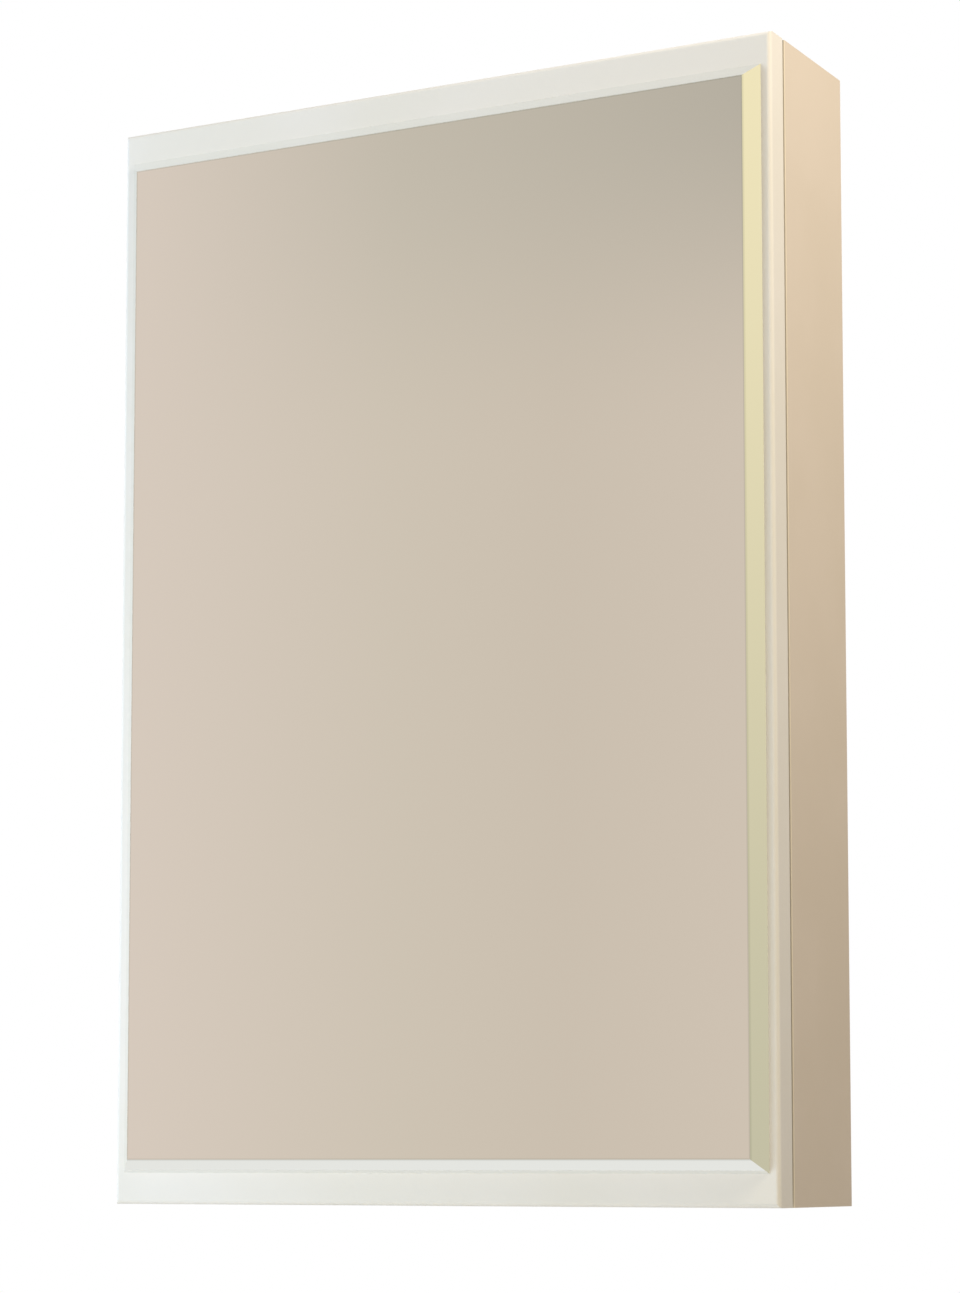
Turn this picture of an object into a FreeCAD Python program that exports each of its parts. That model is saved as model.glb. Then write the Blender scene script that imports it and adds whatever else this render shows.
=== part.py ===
import FreeCAD, Part
import math
import os

Vector = FreeCAD.Vector

# Wall-hung mirror cabinet, millimetres. +Z is up, the front faces -Y, +X is right seen from the front.
# The wall plane is y = 0, and the origin lies midway between the two wall screws.

# Overall sizes
CABINET_WIDTH = 500.0
CABINET_HEIGHT = 760.0
BODY_DEPTH = 97.0

# Boards of the body
BOARD = 16.0
EDGE_BAND = 1.0
EDGE_BAND_ROUND = 0.7
REAR_RAIL = 16.0
HANGING_RAIL_HEIGHT = 78.0
LOWER_RAIL_HEIGHT = 60.0
BACK_PANEL = 3.0
GROOVE_DEPTH = 6.0
GROOVE_PLAY = 0.5

# Clearances
FIT = 0.1
RUNNING_FIT = 0.05
FACE_GAP = 0.3
HOLE_END = 0.5

# Corner joints of the body
CAM_RADIUS = 7.4
CAM_HEIGHT = 11.5
CAM_INSET = 24.0
CAM_SETBACK = 43.0
CAM_SLOT_WIDTH = 1.6
CAM_SLOT_DEPTH = 2.0
CAP_RADIUS = 8.6
CAP_THICKNESS = 1.0
BOLT_THREAD_RADIUS = 2.4
BOLT_THREAD_LENGTH = 10.0
BOLT_SHAFT_RADIUS = 3.0
BOLT_HEAD_RADIUS = 3.2
BOLT_HEAD = 3.0
BOLT_NECK_RADIUS = 2.0
BOLT_NECK_LENGTH = 7.0
DOWEL_RADIUS = 4.0
DOWEL_IN_SIDE = 10.0
DOWEL_IN_BOARD = 20.0
DOWEL_FRONT_SETBACK = 18.0
DOWEL_REAR_SETBACK = 31.0
RAIL_DOWEL_SPACING = 40.0

# Glass shelves and their pins
SHELF_THICKNESS = 5.0
SHELF_SIDE_PLAY = 1.5
SHELF_FRONT_SETBACK = 10.0
SHELF_BACK_PLAY = 2.0
SHELF_ARRIS = 0.6
SHELF_SPACING = 243.0
PIN_RADIUS = 2.4
PIN_IN_SIDE = 8.0
PIN_OUT = 9.0
PIN_COLLAR_RADIUS = 4.0
PIN_COLLAR = 1.2
PIN_SLEEVE_RADIUS = 3.3
PIN_HOLE_PITCH = 32.0
PIN_FRONT_SETBACK = 24.0
PIN_REAR_INSET = 12.0

# Wall fixing
KEYHOLE_INSET = 34.0
KEYHOLE_RADIUS = 5.0
KEYHOLE_SLOT_RADIUS = 2.4
KEYHOLE_LIFT = 12.0
KEYHOLE_PLATE = 1.5
KEYHOLE_PLATE_WIDTH = 24.0
KEYHOLE_PLATE_BELOW = 20.0
KEYHOLE_PLATE_ABOVE = 30.0
KEYHOLE_PLATE_CORNER = 4.0
KEYHOLE_POCKET_RADIUS = 7.5
KEYHOLE_POCKET_DEPTH = 10.0
KEYHOLE_SCREW_MARGIN = 6.0

# Door and mirror
DOOR_GAP = 3.0
DOOR_THICKNESS = 20.0
DOOR_EDGE_ROUND = 3.0
RAIL_WIDTH = 21.5
STILE_WIDTH = 7.0
MIRROR_BACKING = 6.0
MIRROR_GLASS = 4.0
BEVEL_WIDTH = 9.0
BUMPER_RADIUS = 4.0
BUMPER_SIDE_INSET = 8.0
BUMPER_END_INSET = 30.0

# Hinges: pins in plan, u inwards from the outer left face and v forwards from the body's front
HINGE_INSET = 110.0
ARM_PIN_OUTER = (31.5, 0.0)
CUP_PIN_OUTER = (10.2, 5.4)
ARM_PIN_INNER = (20.2, 11.2)
CUP_PIN_INNER = (10.2, 9.8)
OPEN_EYE_OFFSET = (-1.0, 0.6)
OPEN_EYE_PLAY = 1.45
HINGE_PIN_RADIUS = 1.0
LINK_PLATE = 1.5
LINK_SIDE_PLAY = 0.2
INNER_LINK_HALF = 3.0
LINK_ROOT_RADIUS = 2.3
LINK_END_RADIUS = 2.0
LINK_WAIST_PLACE = 0.62
LINK_WAIST_DEPTH = 0.9
LINK_WAIST_RADIUS = 30.0
INNER_LINK_ROOT_RADIUS = 2.3
OPEN_EYE_WALL = 0.9
NOSE_ROOT_RADIUS = 3.2
NOSE_END_RADIUS = 2.5
LUG_RADIUS = 2.2
CUP_CENTRE = 21.5
CUP_RADIUS = 17.5
CUP_WALL = 1.0
CUP_INNER_DEPTH = 12.0
CUP_FLOOR = 0.8
CUP_NOTCH_REACH = 13.0
CUP_NOTCH_HALF = 9.0
CUP_NOTCH_DEPTH = 6.0
FLANGE = 1.0
FLANGE_RIM = 2.5
FLANGE_EAR_OFFSET = 5.5
FLANGE_EAR_RADIUS = 6.0
FLANGE_SCREW_SPACING = 48.0
ARM_LENGTH = 62.0
ARM_WEB = 1.5
ARM_SHOULDER = 10.0
PLATE_BASE = 2.0
PLATE_SETBACK = 37.0
PLATE_SCREW_SPACING = 32.0
PLATE_WING_RADIUS = 6.5
PLATE_PAD_HALF_WIDTH = 7.0
PLATE_PAD_MARGIN = 2.0
PLATE_PAD_LENGTH = 44.0
PLATE_RAIL_HEIGHT = 9.0
ADJUST_SCREW_SPACING = 22.0
ADJUST_SCREW_RADIUS = 1.8
ADJUST_HEAD_RADIUS = 3.2
ADJUST_HEAD = 1.6
ADJUST_GRIP = 4.0

# Push latch and strike
LATCH_WIDTH = 16.0
LATCH_HEIGHT = 15.0
LATCH_LENGTH = 60.0
LATCH_SETBACK = 1.0
LATCH_ROUND = 4.0
LATCH_EAR = 4.0
LATCH_EAR_LENGTH = 14.0
LATCH_EAR_SETBACK = 22.0
LATCH_SCREW_SPACING = 26.0
LATCH_EAR_MARGIN = 6.0
LATCH_BORE_DEPTH = 52.0
PLUNGER_RADIUS = 4.5
PLUNGER_LENGTH = 42.0
MAGNET_RADIUS = 3.4
MAGNET_THICKNESS = 3.0
MAGNET_PROUD = 0.4
STRIKE_THICKNESS = 1.0
STRIKE_WIDTH = 16.0
STRIKE_HEIGHT = 34.0
STRIKE_CORNER = 3.0
STRIKE_SCREW_SPACING = 22.0

# Screws
SCREW_RADIUS = 1.75
SCREW_HEAD_RADIUS = 3.6
SCREW_HEAD = 1.6
SCREW_LENGTH = 12.0
SINK_HEAD_RADIUS = 3.2

# Planes worked out from the sizes above
LEFT = -CABINET_WIDTH / 2
RIGHT = CABINET_WIDTH / 2
TOP = HANGING_RAIL_HEIGHT / 2 + BOARD
BOTTOM = TOP - CABINET_HEIGHT
MIDDLE = (TOP + BOTTOM) / 2
FRONT = -BODY_DEPTH
BOARD_FRONT = FRONT + EDGE_BAND
INNER_LEFT = LEFT + BOARD
INNER_RIGHT = RIGHT - BOARD
INNER_TOP = TOP - BOARD
INNER_BOTTOM = BOTTOM + BOARD
BACK_FACE = -REAR_RAIL - BACK_PANEL
DOOR_BACK = FRONT - DOOR_GAP
DOOR_FRONT = DOOR_BACK - DOOR_THICKNESS
MIRROR_RAISE = MIRROR_BACKING + MIRROR_GLASS
KEYHOLE_PLACES = {"left": INNER_LEFT + KEYHOLE_INSET, "right": INNER_RIGHT - KEYHOLE_INSET}
HINGE_HEIGHTS = {"upper": TOP - HINGE_INSET, "lower": BOTTOM + HINGE_INSET}
SHELF_HEIGHTS = {"upper": MIDDLE + SHELF_SPACING / 2, "lower": MIDDLE - SHELF_SPACING / 2}

nodes = {}


def box(x_low, x_high, y_low, y_high, z_low, z_high):
    """Block between two corners."""
    return Part.makeBox(x_high - x_low, y_high - y_low, z_high - z_low, Vector(x_low, y_low, z_low))


def rod(radius, start, end):
    """Round bar between two points."""
    line = end - start
    return Part.makeCylinder(radius, line.Length, start, line)


def fused(shapes):
    """One solid from overlapping or touching ones, with the seams between flush faces removed."""
    return shapes[0].fuse(shapes[1:]).removeSplitter()


def mirrored_x(shape):
    """Copy on the other side of the cabinet's middle plane."""
    return shape.mirror(Vector(0, 0, 0), Vector(1, 0, 0))


def mirrored_z(shape):
    """Copy on the other side of the cabinet's mid height."""
    return shape.mirror(Vector(0, 0, MIDDLE), Vector(0, 0, 1))


def four_corners(shapes):
    """Copies of top left pieces in all four corners of the body."""
    halves = shapes + [mirrored_x(s) for s in shapes]
    return halves + [mirrored_z(s) for s in halves]


def raised(shapes, height):
    """Copies lifted to a height."""
    return [s.translated(Vector(0, 0, height)) for s in shapes]


def pan_screw(seat, direction, play=0.0):
    """Pan-head screw whose head sits on the seat; with play it is the hole that takes it."""
    shank = Part.makeCylinder(SCREW_RADIUS + play, SCREW_LENGTH + play, seat, direction)
    head = Part.makeCylinder(SCREW_HEAD_RADIUS + play, SCREW_HEAD, seat, direction * -1)
    return fused([shank, head])


def sunk_screw(seat, direction, play=0.0):
    """Countersunk screw flush with the seat; with play it is the hole that takes it."""
    sink = SINK_HEAD_RADIUS - SCREW_RADIUS
    head = Part.makeCone(SINK_HEAD_RADIUS + play, SCREW_RADIUS + play, sink, seat, direction)
    shank = Part.makeCylinder(SCREW_RADIUS + play, SCREW_LENGTH + play, seat, direction)
    return fused([head, shank])


def rounded_plate(x_mid, z_low, z_high, width, corner, y_low, y_high):
    """Upright plate facing the wall, with rounded corners."""
    plate = box(x_mid - width / 2, x_mid + width / 2, y_low, y_high, z_low, z_high)
    upright = [e for e in plate.Edges if abs(e.tangentAt(e.FirstParameter).y) > 0.9]
    return plate.makeFillet(corner, upright)


def plan(point, z=0.0):
    """Point of the hinge plan, given as inwards and forwards distances, in the cabinet's frame."""
    return Vector(LEFT + point[0], FRONT - point[1], z)


def plan_box(u_low, u_high, v_low, v_high, z_low, z_high):
    """Block given in the hinge plan."""
    return box(LEFT + u_low, LEFT + u_high, FRONT - v_high, FRONT - v_low, z_low, z_high)


def plan_pin(point, radius, z_low, z_high):
    """Upright pin or hole at a point of the hinge plan."""
    return rod(radius, plan(point, z_low), plan(point, z_high))


def plan_bar(start, end, start_radius, end_radius, z_low, z_high):
    """Flat link with round ends joined by tangent edges."""
    a, b = plan(start, z_low), plan(end, z_low)
    along = math.atan2(b.y - a.y, b.x - a.x)
    spread = math.acos((start_radius - end_radius) / (b - a).Length)

    def rim(centre, radius, angle):
        return centre + Vector(math.cos(angle), math.sin(angle), 0) * radius

    a_left, a_right = rim(a, start_radius, along + spread), rim(a, start_radius, along - spread)
    b_left, b_right = rim(b, end_radius, along + spread), rim(b, end_radius, along - spread)
    edges = [
        Part.LineSegment(a_left, b_left).toShape(),
        Part.Arc(b_left, rim(b, end_radius, along), b_right).toShape(),
        Part.LineSegment(b_right, a_right).toShape(),
        Part.Arc(a_right, rim(a, start_radius, along + math.pi), a_left).toShape(),
    ]
    return Part.Face(Part.Wire(edges)).extrude(Vector(0, 0, z_high - z_low))


def both_layers(solid):
    """A hinge piece above the hinge's middle plane and its twin below it."""
    return [solid, solid.mirror(Vector(0, 0, 0), Vector(0, 0, 1))]


# Layers of the hinge, counted up from its middle plane
ARM_LOW = INNER_LINK_HALF + LINK_SIDE_PLAY
ARM_HIGH = ARM_LOW + LINK_PLATE
LINK_LOW = ARM_HIGH + LINK_SIDE_PLAY
LINK_HIGH = LINK_LOW + LINK_PLATE
LUG_LOW = LINK_HIGH + LINK_SIDE_PLAY
LUG_HIGH = LUG_LOW + LINK_PLATE
PLATE_TOP = BOARD + PLATE_BASE
ARM_TOP = ARM_PIN_OUTER[0] + NOSE_ROOT_RADIUS
CUP_FLOOR_V = DOOR_GAP + CUP_INNER_DEPTH
ADJUST_V = (-PLATE_SETBACK + ADJUST_SCREW_SPACING / 2, -PLATE_SETBACK - ADJUST_SCREW_SPACING / 2)


def plate_screws(play=0.0):
    """Two screws that hold a mounting plate to the side panel."""
    seats = [plan((PLATE_TOP, -PLATE_SETBACK), s * PLATE_SCREW_SPACING / 2) for s in (-1, 1)]
    return [pan_screw(seat, Vector(-1, 0, 0), play) for seat in seats]


def adjust_screws(play=0.0):
    """Two screws through the arm's web into the rail of the mounting plate."""
    screws = []
    for v in ADJUST_V:
        foot = plan((PLATE_TOP + PLATE_RAIL_HEIGHT - ADJUST_GRIP - play, v))
        seat = plan((ARM_TOP, v))
        crown = plan((ARM_TOP + ADJUST_HEAD, v))
        shank = rod(ADJUST_SCREW_RADIUS + play, foot, seat)
        screws.append(fused([shank, rod(ADJUST_HEAD_RADIUS, seat, crown)]))
    return screws


def mounting_plate():
    """Cross-shaped plate on the side panel, with a rail that the arm clips over."""
    half = PLATE_SCREW_SPACING / 2
    wing = box(
        LEFT + BOARD, LEFT + PLATE_TOP, FRONT + PLATE_SETBACK - PLATE_WING_RADIUS,
        FRONT + PLATE_SETBACK + PLATE_WING_RADIUS, -half, half,
    )
    ends = [
        rod(PLATE_WING_RADIUS, plan((BOARD, -PLATE_SETBACK), z), plan((PLATE_TOP, -PLATE_SETBACK), z))
        for z in (-half, half)
    ]
    back, front = -PLATE_SETBACK - PLATE_PAD_LENGTH / 2, -PLATE_SETBACK + PLATE_PAD_LENGTH / 2
    pad = plan_box(BOARD, PLATE_TOP, back, front, -PLATE_PAD_HALF_WIDTH, PLATE_PAD_HALF_WIDTH)
    rail = plan_box(
        PLATE_TOP, PLATE_TOP + PLATE_RAIL_HEIGHT, back + PLATE_PAD_MARGIN, front - PLATE_PAD_MARGIN,
        -INNER_LINK_HALF, INNER_LINK_HALF,
    )
    plate = fused([wing, pad, rail] + ends)
    return plate.cut(plate_screws(FIT) + adjust_screws(FIT))


def hinge_arm():
    """Channel arm: two cheeks that end in a nose with two pin holes, joined by a web."""
    shoulder = ARM_PIN_OUTER[1] - ARM_SHOULDER
    outline = [
        (PLATE_TOP, -ARM_LENGTH), (ARM_TOP, -ARM_LENGTH), (ARM_TOP, ARM_PIN_OUTER[1]),
        (ARM_PIN_OUTER[0] - NOSE_ROOT_RADIUS, ARM_PIN_OUTER[1]), (PLATE_TOP, shoulder),
    ]
    corners = [plan(p, ARM_LOW) for p in outline]
    stem = Part.Face(Part.makePolygon(corners + corners[:1])).extrude(Vector(0, 0, LINK_PLATE))
    nose = plan_bar(ARM_PIN_OUTER, ARM_PIN_INNER, NOSE_ROOT_RADIUS, NOSE_END_RADIUS, ARM_LOW, ARM_HIGH)
    cheek = fused([stem, nose])
    web = plan_box(ARM_TOP - ARM_WEB, ARM_TOP, -ARM_LENGTH, shoulder, -ARM_HIGH, ARM_HIGH)
    holes = [
        plan_pin(p, HINGE_PIN_RADIUS + RUNNING_FIT, -ARM_HIGH, ARM_HIGH) for p in (ARM_PIN_OUTER, ARM_PIN_INNER)
    ]
    return fused(both_layers(cheek) + [web]).cut(holes + adjust_screws(FIT))


def link_waist():
    """Round cutter that hollows the outer links where the open door's edge passes them."""
    (u, v), (end_u, end_v) = ARM_PIN_OUTER, CUP_PIN_OUTER
    run_u, run_v = end_u - u, end_v - v
    length = math.hypot(run_u, run_v)
    half_width = LINK_ROOT_RADIUS + LINK_WAIST_PLACE * (LINK_END_RADIUS - LINK_ROOT_RADIUS)
    reach = (half_width + LINK_WAIST_RADIUS - LINK_WAIST_DEPTH) / length
    centre = (u + LINK_WAIST_PLACE * run_u - reach * run_v, v + LINK_WAIST_PLACE * run_v + reach * run_u)
    return plan_pin(centre, LINK_WAIST_RADIUS, LINK_LOW, LINK_HIGH)


def outer_links():
    """Pair of link plates from the arm's outer pin to the cup's outer pin."""
    bar = plan_bar(ARM_PIN_OUTER, CUP_PIN_OUTER, LINK_ROOT_RADIUS, LINK_END_RADIUS, LINK_LOW, LINK_HIGH)
    plate = bar.cut(link_waist())
    holes = [
        plan_pin(p, HINGE_PIN_RADIUS + RUNNING_FIT, LINK_LOW, LINK_HIGH) for p in (ARM_PIN_OUTER, CUP_PIN_OUTER)
    ]
    return both_layers(plate.cut(holes))


def inner_link():
    """Solid link in the middle, with a wide eye at the cup's inner pin."""
    eye_hole = HINGE_PIN_RADIUS + OPEN_EYE_PLAY
    eye = (CUP_PIN_INNER[0] + OPEN_EYE_OFFSET[0], CUP_PIN_INNER[1] + OPEN_EYE_OFFSET[1])
    bar = plan_bar(
        ARM_PIN_INNER, eye, INNER_LINK_ROOT_RADIUS, eye_hole + OPEN_EYE_WALL, -INNER_LINK_HALF, INNER_LINK_HALF,
    )
    root_hole = plan_pin(ARM_PIN_INNER, HINGE_PIN_RADIUS + RUNNING_FIT, -INNER_LINK_HALF, INNER_LINK_HALF)
    return bar.cut([root_hole, plan_pin(eye, eye_hole, -INNER_LINK_HALF, INNER_LINK_HALF)])


def cup_screws(play=0.0):
    """Two screws through the ears of the cup's flange into the door."""
    u, v = CUP_CENTRE + FLANGE_EAR_OFFSET, DOOR_GAP - FLANGE
    seats = [plan((u, v), s * FLANGE_SCREW_SPACING / 2) for s in (-1, 1)]
    return [pan_screw(seat, Vector(0, -1, 0), play) for seat in seats]


def cup_body(radius, depth):
    """Round plug that goes into the door's back."""
    return rod(radius, plan((CUP_CENTRE, DOOR_GAP)), plan((CUP_CENTRE, DOOR_GAP + depth)))


def hinge_cup():
    """Cup with a flange, lowered towards the door's edge, and lugs for the link pins."""
    depth = CUP_INNER_DEPTH + CUP_FLOOR
    mouth = DOOR_GAP - FLANGE
    rim = rod(CUP_RADIUS + FLANGE_RIM, plan((CUP_CENTRE, mouth)), plan((CUP_CENTRE, DOOR_GAP)))
    half = FLANGE_SCREW_SPACING / 2
    u_ear = CUP_CENTRE + FLANGE_EAR_OFFSET
    ears = [
        rod(FLANGE_EAR_RADIUS, plan((u_ear, mouth), z), plan((u_ear, DOOR_GAP), z)) for z in (-half, half)
    ]
    bridge = plan_box(u_ear - FLANGE_EAR_RADIUS, u_ear + FLANGE_EAR_RADIUS, mouth, DOOR_GAP, -half, half)
    hollow = rod(CUP_RADIUS - CUP_WALL, plan((CUP_CENTRE, mouth)), plan((CUP_CENTRE, CUP_FLOOR_V)))
    notch = plan_box(
        CUP_CENTRE - CUP_RADIUS - FLANGE_RIM, CUP_CENTRE - CUP_NOTCH_REACH, mouth, DOOR_GAP + CUP_NOTCH_DEPTH,
        -CUP_NOTCH_HALF, CUP_NOTCH_HALF,
    )
    shell = fused([cup_body(CUP_RADIUS, depth), rim, bridge] + ears).cut([hollow, notch])
    lugs = []
    for pin, low in ((CUP_PIN_OUTER, LUG_LOW), (CUP_PIN_INNER, ARM_LOW)):
        foot = plan_box(pin[0] - LUG_RADIUS, pin[0] + LUG_RADIUS, pin[1], CUP_FLOOR_V, low, low + LINK_PLATE)
        lug = fused([foot, plan_pin(pin, LUG_RADIUS, low, low + LINK_PLATE)])
        lugs += both_layers(lug.cut(plan_pin(pin, HINGE_PIN_RADIUS + RUNNING_FIT, low, low + LINK_PLATE)))
    return fused([shell] + lugs).cut(cup_screws(FIT))


def hinge_arm_pins():
    """Rivets in the arm: two short ones for the outer links and one through the inner link."""
    short = both_layers(plan_pin(ARM_PIN_OUTER, HINGE_PIN_RADIUS, ARM_LOW, LINK_HIGH))
    return short + [plan_pin(ARM_PIN_INNER, HINGE_PIN_RADIUS, -ARM_HIGH, ARM_HIGH)]


def hinge_cup_pins():
    """Rivets in the cup: two short ones for the outer links and one through the inner link's eye."""
    short = both_layers(plan_pin(CUP_PIN_OUTER, HINGE_PIN_RADIUS, LINK_LOW, LUG_HIGH))
    return short + [plan_pin(CUP_PIN_INNER, HINGE_PIN_RADIUS, -ARM_HIGH, ARM_HIGH)]


def dowel(x_face, y, z, play=0.0):
    """Beech dowel across the joint between the left side panel and a board; with play it is the hole."""
    start = Vector(x_face - DOWEL_IN_SIDE - play * HOLE_END / FIT, y, z)
    end = Vector(x_face + DOWEL_IN_BOARD + play * HOLE_END / FIT, y, z)
    return rod(DOWEL_RADIUS + play, start, end)


def board_dowels(play=0.0):
    """Dowels between the left side panel and the top panel."""
    places = (FRONT + DOWEL_FRONT_SETBACK, -DOWEL_REAR_SETBACK)
    return [dowel(INNER_LEFT, y, TOP - BOARD / 2, play) for y in places]


def rail_dowels(play=0.0):
    """Dowels between the left side panel and the two rails behind the back panel."""
    lower_middle = INNER_BOTTOM + LOWER_RAIL_HEIGHT / 2
    heights = [m + s * RAIL_DOWEL_SPACING / 2 for m in (0.0, lower_middle) for s in (-1, 1)]
    return [dowel(INNER_LEFT, -REAR_RAIL / 2, z, play) for z in heights]


CAM_X = INNER_LEFT + CAM_INSET
CAM_Y = FRONT + CAM_SETBACK
CAM_TOP = TOP - CAP_THICKNESS


def cam_bolt():
    """Bolt in the left side panel, whose head is drawn in by the top panel's cam."""
    z = TOP - BOARD / 2
    face = Vector(INNER_LEFT, CAM_Y, z)
    tip = Vector(CAM_X + BOLT_HEAD / 2, CAM_Y, z)
    head = tip - Vector(BOLT_HEAD, 0, 0)
    neck = head - Vector(BOLT_NECK_LENGTH, 0, 0)
    return fused([
        rod(BOLT_THREAD_RADIUS, face - Vector(BOLT_THREAD_LENGTH, 0, 0), face),
        rod(BOLT_SHAFT_RADIUS, face, neck),
        rod(BOLT_NECK_RADIUS, neck, head),
        rod(BOLT_HEAD_RADIUS, head, tip),
    ])


def bolt_passage(start_x):
    """Way for the bolt from a given place to just past its head."""
    z = TOP - BOARD / 2
    end_x = CAM_X + BOLT_HEAD / 2 + FIT
    return rod(BOLT_HEAD_RADIUS + FIT, Vector(start_x, CAM_Y, z), Vector(end_x, CAM_Y, z))


def cam_lock():
    """Round cam with a screwdriver slot and the hollow for the bolt's head."""
    cam = rod(CAM_RADIUS, Vector(CAM_X, CAM_Y, CAM_TOP - CAM_HEIGHT), Vector(CAM_X, CAM_Y, CAM_TOP))
    slot = box(
        CAM_X - CAM_SLOT_WIDTH / 2, CAM_X + CAM_SLOT_WIDTH / 2, CAM_Y - CAM_RADIUS, CAM_Y + CAM_RADIUS,
        CAM_TOP - CAM_SLOT_DEPTH, CAM_TOP,
    )
    return cam.cut([slot, bolt_passage(INNER_LEFT)])


def cam_cap():
    """Thin cover set flush over the cam."""
    return rod(CAP_RADIUS, Vector(CAM_X, CAM_Y, CAM_TOP), Vector(CAM_X, CAM_Y, TOP))


def back_groove():
    """Space for the back panel, reaching into all four boards."""
    return box(
        INNER_LEFT - GROOVE_DEPTH, INNER_RIGHT + GROOVE_DEPTH, BACK_FACE - FIT, -REAR_RAIL + FIT,
        INNER_BOTTOM - GROOVE_DEPTH, INNER_TOP + GROOVE_DEPTH,
    )


def pin_places(shelf_height):
    """Front and rear pin axes of one shelf on the left side panel."""
    z = shelf_height - PIN_SLEEVE_RADIUS
    places = (FRONT + PIN_FRONT_SETBACK, BACK_FACE - PIN_REAR_INSET)
    return [Vector(INNER_LEFT, y, z) for y in places]


def shelf_pin(place):
    """Plug-in shelf pin with a collar."""
    step = Vector(1, 0, 0)
    stem = rod(PIN_RADIUS, place - step * PIN_IN_SIDE, place + step * PIN_OUT)
    return fused([stem, rod(PIN_COLLAR_RADIUS, place, place + step * PIN_COLLAR)])


def pin_sleeve(place):
    """Soft sleeve on the pin, under the glass."""
    start, end = place + Vector(PIN_COLLAR, 0, 0), place + Vector(PIN_OUT, 0, 0)
    return rod(PIN_SLEEVE_RADIUS, start, end).cut(rod(PIN_RADIUS + RUNNING_FIT, start, end))


def side_panel():
    """Left side panel with its groove, joint holes and rows of shelf pin holes."""
    panel = box(LEFT, INNER_LEFT, BOARD_FRONT, 0, BOTTOM, TOP)
    bolt_hole = rod(
        BOLT_THREAD_RADIUS + FIT, Vector(INNER_LEFT - BOLT_THREAD_LENGTH - HOLE_END, CAM_Y, TOP - BOARD / 2),
        Vector(INNER_LEFT, CAM_Y, TOP - BOARD / 2),
    )
    joints = board_dowels(FIT) + [bolt_hole]
    holes = [back_groove()] + joints + [mirrored_z(h) for h in joints] + rail_dowels(FIT)
    for height in SHELF_HEIGHTS.values():
        for place in pin_places(height):
            for step in (-1, 0, 1):
                mouth = place + Vector(0, 0, step * PIN_HOLE_PITCH)
                holes.append(rod(PIN_RADIUS + FIT, mouth - Vector(PIN_IN_SIDE + HOLE_END, 0, 0), mouth))
    return panel.cut(holes)


def top_panel():
    """Top panel between the sides, with its groove and corner joints."""
    panel = box(INNER_LEFT, INNER_RIGHT, BOARD_FRONT, 0, INNER_TOP, TOP)
    bore = rod(CAM_RADIUS + FIT, Vector(CAM_X, CAM_Y, CAM_TOP - CAM_HEIGHT), Vector(CAM_X, CAM_Y, TOP))
    recess = rod(CAP_RADIUS + FIT, Vector(CAM_X, CAM_Y, CAM_TOP), Vector(CAM_X, CAM_Y, TOP))
    joints = board_dowels(FIT) + [bore, recess, bolt_passage(INNER_LEFT)]
    return panel.cut([back_groove()] + joints + [mirrored_x(j) for j in joints])


def edge_band(x_low, x_high, z_low, z_high, rounded_edges):
    """Thin band on a board's front edge, with its outer front edges softened."""
    band = box(x_low, x_high, FRONT, BOARD_FRONT, z_low, z_high)
    return band.makeFillet(EDGE_BAND_ROUND, [e for e in band.Edges if rounded_edges(e.CenterOfMass)])


def at_front(x=None, z=None):
    """Test for a front edge whose middle lies at a given x or z."""
    def test(centre):
        on_line = (x is None or abs(centre.x - x) < FIT) and (z is None or abs(centre.z - z) < FIT)
        return on_line and abs(centre.y - FRONT) < FIT
    return test


def keyhole_screws(x, play=0.0):
    """Two countersunk screws of one keyhole plate."""
    low = -KEYHOLE_PLATE_BELOW + KEYHOLE_SCREW_MARGIN
    high = KEYHOLE_PLATE_ABOVE - KEYHOLE_SCREW_MARGIN
    return [sunk_screw(Vector(x, 0, z), Vector(0, -1, 0), play) for z in (low, high)]


def keyhole(x, entry_radius, slot_radius, y_low, y_high):
    """Keyhole opening: a round entry with a slot rising from it."""
    entry = rod(entry_radius, Vector(x, y_low, 0), Vector(x, y_high, 0))
    slot = box(x - slot_radius, x + slot_radius, y_low, y_high, 0, KEYHOLE_LIFT)
    end = rod(slot_radius, Vector(x, y_low, KEYHOLE_LIFT), Vector(x, y_high, KEYHOLE_LIFT))
    return fused([entry, slot, end])


def keyhole_plate(x, play=0.0):
    """Steel plate let into the hanging rail's back; with play it is the recess."""
    return rounded_plate(
        x, -KEYHOLE_PLATE_BELOW - play, KEYHOLE_PLATE_ABOVE + play, KEYHOLE_PLATE_WIDTH + 2 * play,
        KEYHOLE_PLATE_CORNER, -KEYHOLE_PLATE, 0,
    )


def hanging_rail():
    """Rail behind the back panel that takes the keyhole plates and the room for the screw heads."""
    rail = box(INNER_LEFT, INNER_RIGHT, -REAR_RAIL, 0, INNER_TOP - HANGING_RAIL_HEIGHT, INNER_TOP)
    cuts = rail_dowels(FIT) + [mirrored_x(d) for d in rail_dowels(FIT)]
    for x in KEYHOLE_PLACES.values():
        pocket = keyhole(x, KEYHOLE_POCKET_RADIUS, KEYHOLE_POCKET_RADIUS, -KEYHOLE_POCKET_DEPTH, 0)
        cuts += [keyhole_plate(x, FIT), pocket] + keyhole_screws(x, FIT)
    return rail.cut(cuts)


def lower_rail():
    """Rail behind the back panel at the bottom."""
    rail = box(INNER_LEFT, INNER_RIGHT, -REAR_RAIL, 0, INNER_BOTTOM, INNER_BOTTOM + LOWER_RAIL_HEIGHT)
    return rail.cut(rail_dowels(FIT) + [mirrored_x(d) for d in rail_dowels(FIT)])


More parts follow.
